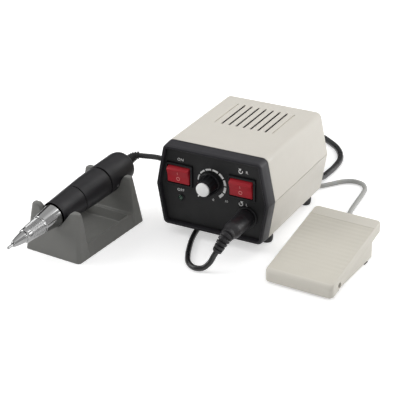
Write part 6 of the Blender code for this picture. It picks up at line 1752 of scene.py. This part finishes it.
@dataclass
class Cords:
    """The three cords, their coils, ties and the mains plug. Places are in the box's axes."""

    box: ControlBox
    handpiece_diameter: float = 0.0048
    mains_diameter: float = 0.0060
    pedal_diameter: float = 0.0043
    gap: float = 0.0003
    spacing: float = 0.0018
    plug_pin: Spot = (0.0020, 0.0310, 0.0520)
    plug_pitch: float = 0.0190

    loop_route: ClassVar[Route] = (
        (0.0220, -0.0565, 0.0088), (0.0170, -0.0600, 0.0038), (0.0095, -0.0608, 0.0025),
        (0.0010, -0.0555, 0.0025), (-0.0060, -0.0440, 0.0025), (-0.0120, -0.0300, 0.0025),
        (-0.0170, -0.0160, 0.0025), (-0.0205, -0.0010, 0.0025), (-0.0240, 0.0250, 0.0025),
        (-0.0330, 0.0560, 0.0025), (-0.0480, 0.0780, 0.0025), (-0.0640, 0.0870, 0.0025),
    )
    rise_route: ClassVar[Route] = (
        (-0.0557, 0.1000, 0.0170), (-0.0562, 0.0850, 0.0150), (-0.0580, 0.0690, 0.0183),
        (-0.0615, 0.0550, 0.0268), (-0.0680, 0.0438, 0.0369), (-0.0780, 0.0364, 0.0442),
    )
    mains_route: ClassVar[Route] = (
        (0.0352, 0.1435, 0.0040), (0.0356, 0.1560, 0.0031), (0.0359, 0.1700, 0.0031),
        (0.0335, 0.1890, 0.0031), (0.0225, 0.2090, 0.0031), (0.0020, 0.2260, 0.0031),
        (-0.0240, 0.2410, 0.0031), (-0.0480, 0.2505, 0.0031),
    )
    mains_tail_route: ClassVar[Route] = ((-0.1165, 0.1920, 0.0125), (-0.1090, 0.1800, 0.0175))
    mains_plug_tail: ClassVar[Spot] = (-0.0930, 0.1750, 0.0196)
    pedal_route: ClassVar[Route] = (
        (0.0950, 0.0520, 0.0072), (0.0908, 0.0670, 0.0033), (0.0868, 0.0820, 0.0024),
        (0.0843, 0.0960, 0.0024), (0.0827, 0.1120, 0.0024), (0.0811, 0.1290, 0.0024),
        (0.0788, 0.1410, 0.0024), (0.0725, 0.1490, 0.0024), (0.0630, 0.1505, 0.0024),
        (0.0545, 0.1455, 0.0024), (0.0470, 0.1360, 0.0024), (0.0385, 0.1265, 0.0024),
        (0.0285, 0.1225, 0.0024), (0.0190, 0.1250, 0.0024), (0.0105, 0.1325, 0.0023),
    )
    jack_route: ClassVar[Route] = ((0.0190, 0.1560, 0.0180),)

    def __post_init__(self) -> None:
        """Lays out the three coils behind the box."""
        self.handpiece_coil = Coil(centre=(-0.0860, 0.1200), diameter=self.handpiece_diameter,
                                   mid_diameters=11.0, turns=5.75, layers=4, start_deg=-90.0, sense=-1)
        self.mains_coil = Coil(centre=(-0.0740, 0.2080), diameter=self.mains_diameter,
                               mid_diameters=11.5, turns=6.25, layers=2, start_deg=90.0, sense=1)
        self.pedal_coil = Coil(centre=(-0.0080, 0.1660), diameter=self.pedal_diameter,
                               mid_diameters=10.5, turns=8.75, layers=4, start_deg=-90.0, sense=-1)

    def stretch(self, start: Points, heading: Points, route: Sequence[Sequence[float]], end: Points,
                end_heading: Points, diameter: float) -> Points:
        """Free stretch of a cord: straight for a diameter at each end, smooth between.

        Args:
            start: Where it leaves, but for the gap.
            heading: Direction there.
            route: Points that it passes through.
            end: Where it arrives, but for the gap.
            end_heading: Direction there.
            diameter: Diameter of the cord.

        Returns:
            Its centre line.
        """
        ahead, behind = unit(np.asarray(heading, float)), unit(np.asarray(end_heading, float))
        first, last = np.asarray(start, float) + ahead * self.gap, np.asarray(end, float) - behind * self.gap
        middle = np.asarray(route, float)
        given = np.vstack([first, first + ahead * diameter, middle, last - behind * diameter, last])
        return np.vstack([first, smooth_path(given, self.spacing), last])

    def curve(self, name: str, line: Points, diameter: float, finish: Finish, slot: str,
              replaces: Sequence[str]) -> Piece:
        """Adds a round cord on one open spline.

        Args:
            name: Name of the piece.
            line: Its centre line, in the box's axes.
            diameter: Its diameter.
            finish: Its surface finish.
            slot: Name of a material slot of the record; not used.
            replaces: Nodes that it stands for.

        Returns:
            The new object.
        """
        line = line + np.array(self.box.shift)
        curve = bpy.data.curves.new(name, "CURVE")
        curve.dimensions = "3D"
        curve.bevel_depth = diameter / 2
        curve.bevel_resolution = 5
        curve.use_fill_caps = True
        spline = curve.splines.new("POLY")
        spline.points.add(len(line) - 1)
        spline.points.foreach_set("co", np.column_stack([line, np.ones(len(line))]).ravel())
        spline.use_smooth = True
        curve.materials.append(finish.material())
        piece = linked(name, curve)
        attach(piece, "root")
        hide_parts(*replaces)
        log.info("%s: %.3f m", name, length_of(line))
        return piece

    def wound(self, coil: Coil, start: Points, heading: Points, route: Route, tail_route: Route,
              end: Points, end_heading: Points) -> Points:
        """Cord that runs to its coil, round it, and on to its end.

        Args:
            coil: Its coil.
            start: Where it leaves.
            heading: Direction there.
            route: Points on the way to the coil.
            tail_route: Points on the way from the coil.
            end: Where it arrives.
            end_heading: Direction there.

        Returns:
            Its centre line.
        """
        winding, leave = coil.points(), coil.heading(coil.turns)
        free = self.stretch(start, heading, route, winding[0], coil.heading(0), coil.diameter)
        tail = self.stretch(winding[-1] - leave * self.gap, leave, tail_route, end, end_heading,
                            coil.diameter)
        return np.vstack([free, winding[:-1], tail])

    def placed(self, point: Sequence[float]) -> list[float]:
        """A point of the box's axes in the row frame."""
        return list(np.asarray(point, float) + np.array(self.box.shift))

    def tie(self, name: str, coil: Coil, angles: Sequence[float]) -> Piece:
        """Straps that hold a coil."""
        mesh = together([coil.tie(angle) for angle in angles])
        mesh.transform(Matrix.Translation(self.box.shift))
        return show(name, mesh, TIE)

    def build_handpiece_cord(self, fittings: FrontFittings, handpiece: Handpiece) -> None:
        """Cord from the output plug under the box to its coil, and the lead up to the handpiece."""
        coil, diameter = self.handpiece_coil, self.handpiece_diameter
        winding = coil.points()
        front = self.stretch(fittings.plug_tip, fittings.plug_heading, self.loop_route, winding[0],
                             coil.heading(0), diameter)
        line = np.vstack([front, winding])
        cord = self.curve("handpiece_lead_coiled", line, diameter, CORD_BLACK, "cord_black",
                          ["handpiece_cord_front", "handpiece_cord_coil"])
        strap = self.tie("handpiece_coil_tie", coil, (110.0, -70.0))
        back = -np.asarray(handpiece.boot_heading, float)
        rise = self.stretch(winding[-1], coil.heading(coil.turns), self.rise_route, handpiece.boot_tip,
                            back, diameter)
        rise = rise + np.array(self.box.shift)
        mesh = mesh_of(tube_grid(rise, np.full(len(rise), diameter / 2), 16))
        lead = show("handpiece_lead", mesh, CORD_BLACK, replaces=["handpiece_cord"])
        lead.parent = None
        del lead["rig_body"]
        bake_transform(lead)

    def build_mains_cord(self, rear: RearFittings) -> None:
        """Cord from the gland along the table to its coil and its plug."""
        coil, diameter = self.mains_coil, self.mains_diameter
        line = self.wound(coil, rear.gland_tip, rear.gland_heading, self.mains_route,
                          self.mains_tail_route, self.mains_plug_tail, np.array([1.0, 0, 0]))
        cord = self.curve("mains_lead", line, diameter, CORD_BLACK, "cord_black",
                          ["mains_cord", "mains_cord_coil"])
        strap = self.tie("mains_coil_tie", coil, (-75.0,))
        plug = self.build_mains_plug()

    def build_mains_plug(self) -> Piece:
        """Flat two-pin plug: a waisted body of rounded sections, and two round pins."""
        x, y, z = self.placed(self.mains_plug_tail)
        # Each station has its distance along the plug and its half width and half thickness.
        stations = np.array([
            (0.0, 0.0036, 0.0036), (0.0009, 0.0040, 0.0040), (0.0105, 0.0041, 0.0041),
            (0.0130, 0.0062, 0.0052), (0.0165, 0.0100, 0.0064), (0.0220, 0.0117, 0.0065),
            (0.0300, 0.0128, 0.0065), (0.0325, 0.0130, 0.0064), (0.0330, 0.0124, 0.0058),
        ])
        loops = [fillet(rectangle(*half), half.min() * 0.62, 8) + (y, z) for half in stations[:, 1:]]
        body = mesh_of(stacked(loops, x + stations[:, 0], 0))
        radius, root, end = self.plug_pin
        profile = fillet([(0, root), (radius, root), (radius, end), (0, end)], [0, 0, 0.0012, 0], 5,
                         closed=False)
        pins = []
        for side in (-self.plug_pitch / 2, self.plug_pitch / 2):
            pins.append(turned(profile, Matrix.Translation((x, y + side, z)) @ TO_RIGHT, 32))
        plug = show("mains_plug_body", body, PLUG, replaces=["mains_plug"])
        blades = show("mains_plug_pins", together(pins), STEEL)
        blades.parent = plug
        return plug

    def build_pedal_cord(self, pedal: FootPedal) -> None:
        """Cord from the pedal along the table to its coil and the jack plug in the rear."""
        coil, diameter = self.pedal_coil, self.pedal_diameter
        place = pedal.place()
        start = place @ Vector((pedal.boot_u, pedal.boot_end, pedal.boot_z)) - self.box.shift
        heading = place.to_3x3() @ Vector((0, 1, 0))
        low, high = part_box("pedal_jack_plug")
        end = Vector(((low.x + high.x) / 2, high.y, (low.z + high.z) / 2)) - self.box.shift
        line = self.wound(coil, start, heading, self.pedal_route, self.jack_route, end, FORWARD)
        cord = self.curve("pedal_lead", line, diameter, CORD_GREY, "cord_grey",
                          ["pedal_cord", "pedal_cord_coil"])
        strap = self.tie("pedal_coil_tie", coil, (-60.0, 120.0))


def length_of(line: Points) -> float:
    """Length along a row of points."""
    return float(np.linalg.norm(np.diff(line, axis=0), axis=1).sum())


INSIDE = {
    "front_panel": PANEL, "rear_panel": CHARCOAL, "potentiometer": STEEL, "potentiometer_shaft": STEEL,
    "pedal_jack": STEEL, "transformer_core": CORE, "transformer_winding": COPPER, "circuit_board": BOARD,
    "motor_can": MAGNET, "armature": COPPER, "spindle": STEEL, "collet": STEEL, "front_bearing": STEEL,
    "rear_bearing": STEEL, "brush_plate": BOARD, "pedal_switch": SWITCH, "switch_plunger": ROCKER,
    "return_spring": STEEL, "pedal_foot_toe": RUBBER, "pedal_foot_heel": RUBBER,
}


def dress_kept_nodes(nodes: dict[str, Piece]) -> None:
    """Gives every node that stays as built its finish."""
    for name, finish in INSIDE.items():
        slots = nodes[name].data.materials
        slots.clear()
        slots.append(finish.material())
        log.info("%s keeps its shape, in %s", name, finish.name)


@dataclass
class Studio:
    """Camera, pale floor and soft lights."""

    box: ControlBox
    azimuth_deg: float = 28.72
    elevation_deg: float = 26.64
    distance: float = 1.1941
    roll_deg: float = -0.864
    lens: float = 123.98
    target: Spot = (-0.020, 0.0043, 0.0295)
    floor_half: float = 6.0
    floor_grey: float = 0.80
    floor_glow: float = 0.48
    world_light: float = 0.22
    gloss_edge: float = 0.35
    gloss_share: tuple[float, float] = (-0.15, 0.55)
    aim: Spot = (0.0, 0.0, 0.03)

    lamps: ClassVar[tuple[tuple[str, Spot, float, float], ...]] = (
        ("overhead", (-0.35, 0.30, 1.30), 2.20, 11.5),
        ("rear_right", (0.55, 0.85, 1.05), 0.70, 4.0),
        ("right_card", (1.20, 1.05, 0.55), 0.90, 11.0),
        ("left_fill", (-1.2, -0.4, 0.7), 0.80, 10.0),
        ("front_fill", (0.9, -1.2, 0.8), 1.00, 3.5),
    )

    def build_camera(self) -> None:
        """Camera on a sphere round its target, looking at it, with a slight roll."""
        azimuth, elevation = math.radians(self.azimuth_deg), math.radians(self.elevation_deg)
        level, rise = math.cos(elevation), math.sin(elevation)
        back = Vector((math.sin(azimuth) * level, -math.cos(azimuth) * level, rise))
        target = Vector(self.target) + self.box.shift
        camera = bpy.data.cameras.new("camera")
        camera.lens = self.lens
        camera.sensor_width = 36.0
        camera.clip_start, camera.clip_end = 0.05, 20.0
        holder = linked("camera", camera)
        turn = (-back).to_track_quat("-Z", "Y").to_matrix().to_4x4()
        roll = Matrix.Rotation(math.radians(self.roll_deg), 4, "Z")
        holder.matrix_world = Matrix.Translation(target + back * self.distance) @ turn @ roll
        bpy.context.scene.camera = holder

    def build_floor(self) -> None:
        """Wide pale floor: it takes shadows, and glows to the camera and to gloss, so that it looks white."""
        half = self.floor_half
        grid = np.array([[(-half, -half, 0), (half, -half, 0)], [(-half, half, 0), (half, half, 0)]], float)
        mesh = mesh_of(grid, around=False, caps=False)
        if mesh.polygons[0].normal.z < 0:
            mesh.flip_normals()
        floor = linked("floor", mesh)
        material = bpy.data.materials.new("floor_white")
        material.use_nodes = True
        tree = material.node_tree
        nodes, links = tree.nodes, tree.links
        shader = nodes["Principled BSDF"]
        shader.inputs["Base Color"].default_value = (self.floor_grey, self.floor_grey, self.floor_grey, 1)
        shader.inputs["Roughness"].default_value = 0.9
        shader.inputs["Specular IOR Level"].default_value = 0.1
        glow = nodes.new("ShaderNodeEmission")
        glow.inputs["Color"].default_value = (1, 1, 1, 1)
        path = nodes.new("ShaderNodeLightPath")
        seen = math_node(tree, "MAXIMUM", path.outputs["Is Camera Ray"], path.outputs["Is Glossy Ray"])
        links.new(math_node(tree, "MULTIPLY", seen, self.floor_glow), glow.inputs["Strength"])
        both = nodes.new("ShaderNodeAddShader")
        links.new(shader.outputs[0], both.inputs[0])
        links.new(glow.outputs[0], both.inputs[1])
        links.new(both.outputs[0], nodes["Material Output"].inputs["Surface"])
        mesh.materials.append(material)

    def build_world(self) -> None:
        """Even light from all round, white to the camera and a graded grey to gloss.

        The strength is world light + (1 - world light) t. For the camera and through glass t is 1.
        For gloss it rises with the direction's X, from the first gloss share at 0 and below to the
        second at the gloss edge and beyond, so that bright metal has a dark side at the left.
        """
        world = bpy.data.worlds.new("studio")
        world.use_nodes = True
        tree = world.node_tree
        nodes, links = tree.nodes, tree.links
        background = nodes["Background"]
        background.inputs["Color"].default_value = (1, 1, 1, 1)
        path = nodes.new("ShaderNodeLightPath").outputs
        side = nodes.new("ShaderNodeSeparateXYZ")
        links.new(nodes.new("ShaderNodeTexCoord").outputs["Generated"], side.inputs[0])
        flag = map_range(tree, side.outputs["X"], (0.0, self.gloss_edge), self.gloss_share)
        gloss = math_node(tree, "MULTIPLY", path["Is Glossy Ray"], flag)
        seen = math_node(tree, "ADD", path["Is Camera Ray"], path["Is Transmission Ray"])
        total = math_node(tree, "ADD", seen, gloss)
        strength = map_range(tree, total, (0.0, 1.0), (self.world_light, 1.0), clamp=False)
        links.new(strength, background.inputs["Strength"])
        bpy.context.scene.world = world

    def light(self, name: str, place: Sequence[float], size: float, power: float) -> None:
        """Adds a square area light that faces the set.

        Args:
            name: Name of the light.
            place: Where it stands.
            size: Length of its sides.
            power: Its power in watts.
        """
        lamp = bpy.data.lights.new(name, "AREA")
        lamp.shape = "SQUARE"
        lamp.size = size
        lamp.energy = power
        holder = linked(name, lamp)
        holder.location = place
        holder.rotation_euler = (Vector(self.aim) - Vector(place)).to_track_quat("-Z", "Y").to_euler()

    def build(self) -> None:
        """Camera, floor, world and lamps."""
        self.build_camera()
        self.build_floor()
        self.build_world()
        for lamp in self.lamps:
            self.light(*lamp)
        bpy.context.scene.view_settings.view_transform = "Standard"


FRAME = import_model()


def main() -> None:
    """Builds the set in order and reports each piece."""
    logging.basicConfig(level=logging.INFO, format="%(name)s: %(message)s")
    box = ControlBox()
    Studio(box).build()
    front, rear = FrontFittings(box), RearFittings(box)
    handpiece, pedal = Handpiece(), FootPedal()
    front.build()
    rear.build()
    handpiece.build(box)
    pedal.build()
    cords = Cords(box)
    cords.build_handpiece_cord(front, handpiece)
    cords.build_mains_cord(rear)
    cords.build_pedal_cord(pedal)
    box.build_shells()
    box.build_bezel()
    box.build_feet()
    box.build_screws()
    panel = PanelPrint(box)
    panel.build()
    joints = {joint["name"]: joint for joint in FRAME["joints"]}
    for label in ("power", "direction"):
        RockerSwitch(label, Vector(joints[f"{label}_rocker_tilt"]["pos_m"])).build(panel)
    SpeedControl(box).build()
    Cradle().build(handpiece)
    dress_kept_nodes(FRAME["nodes"])


if __name__ == "__main__":
    main()
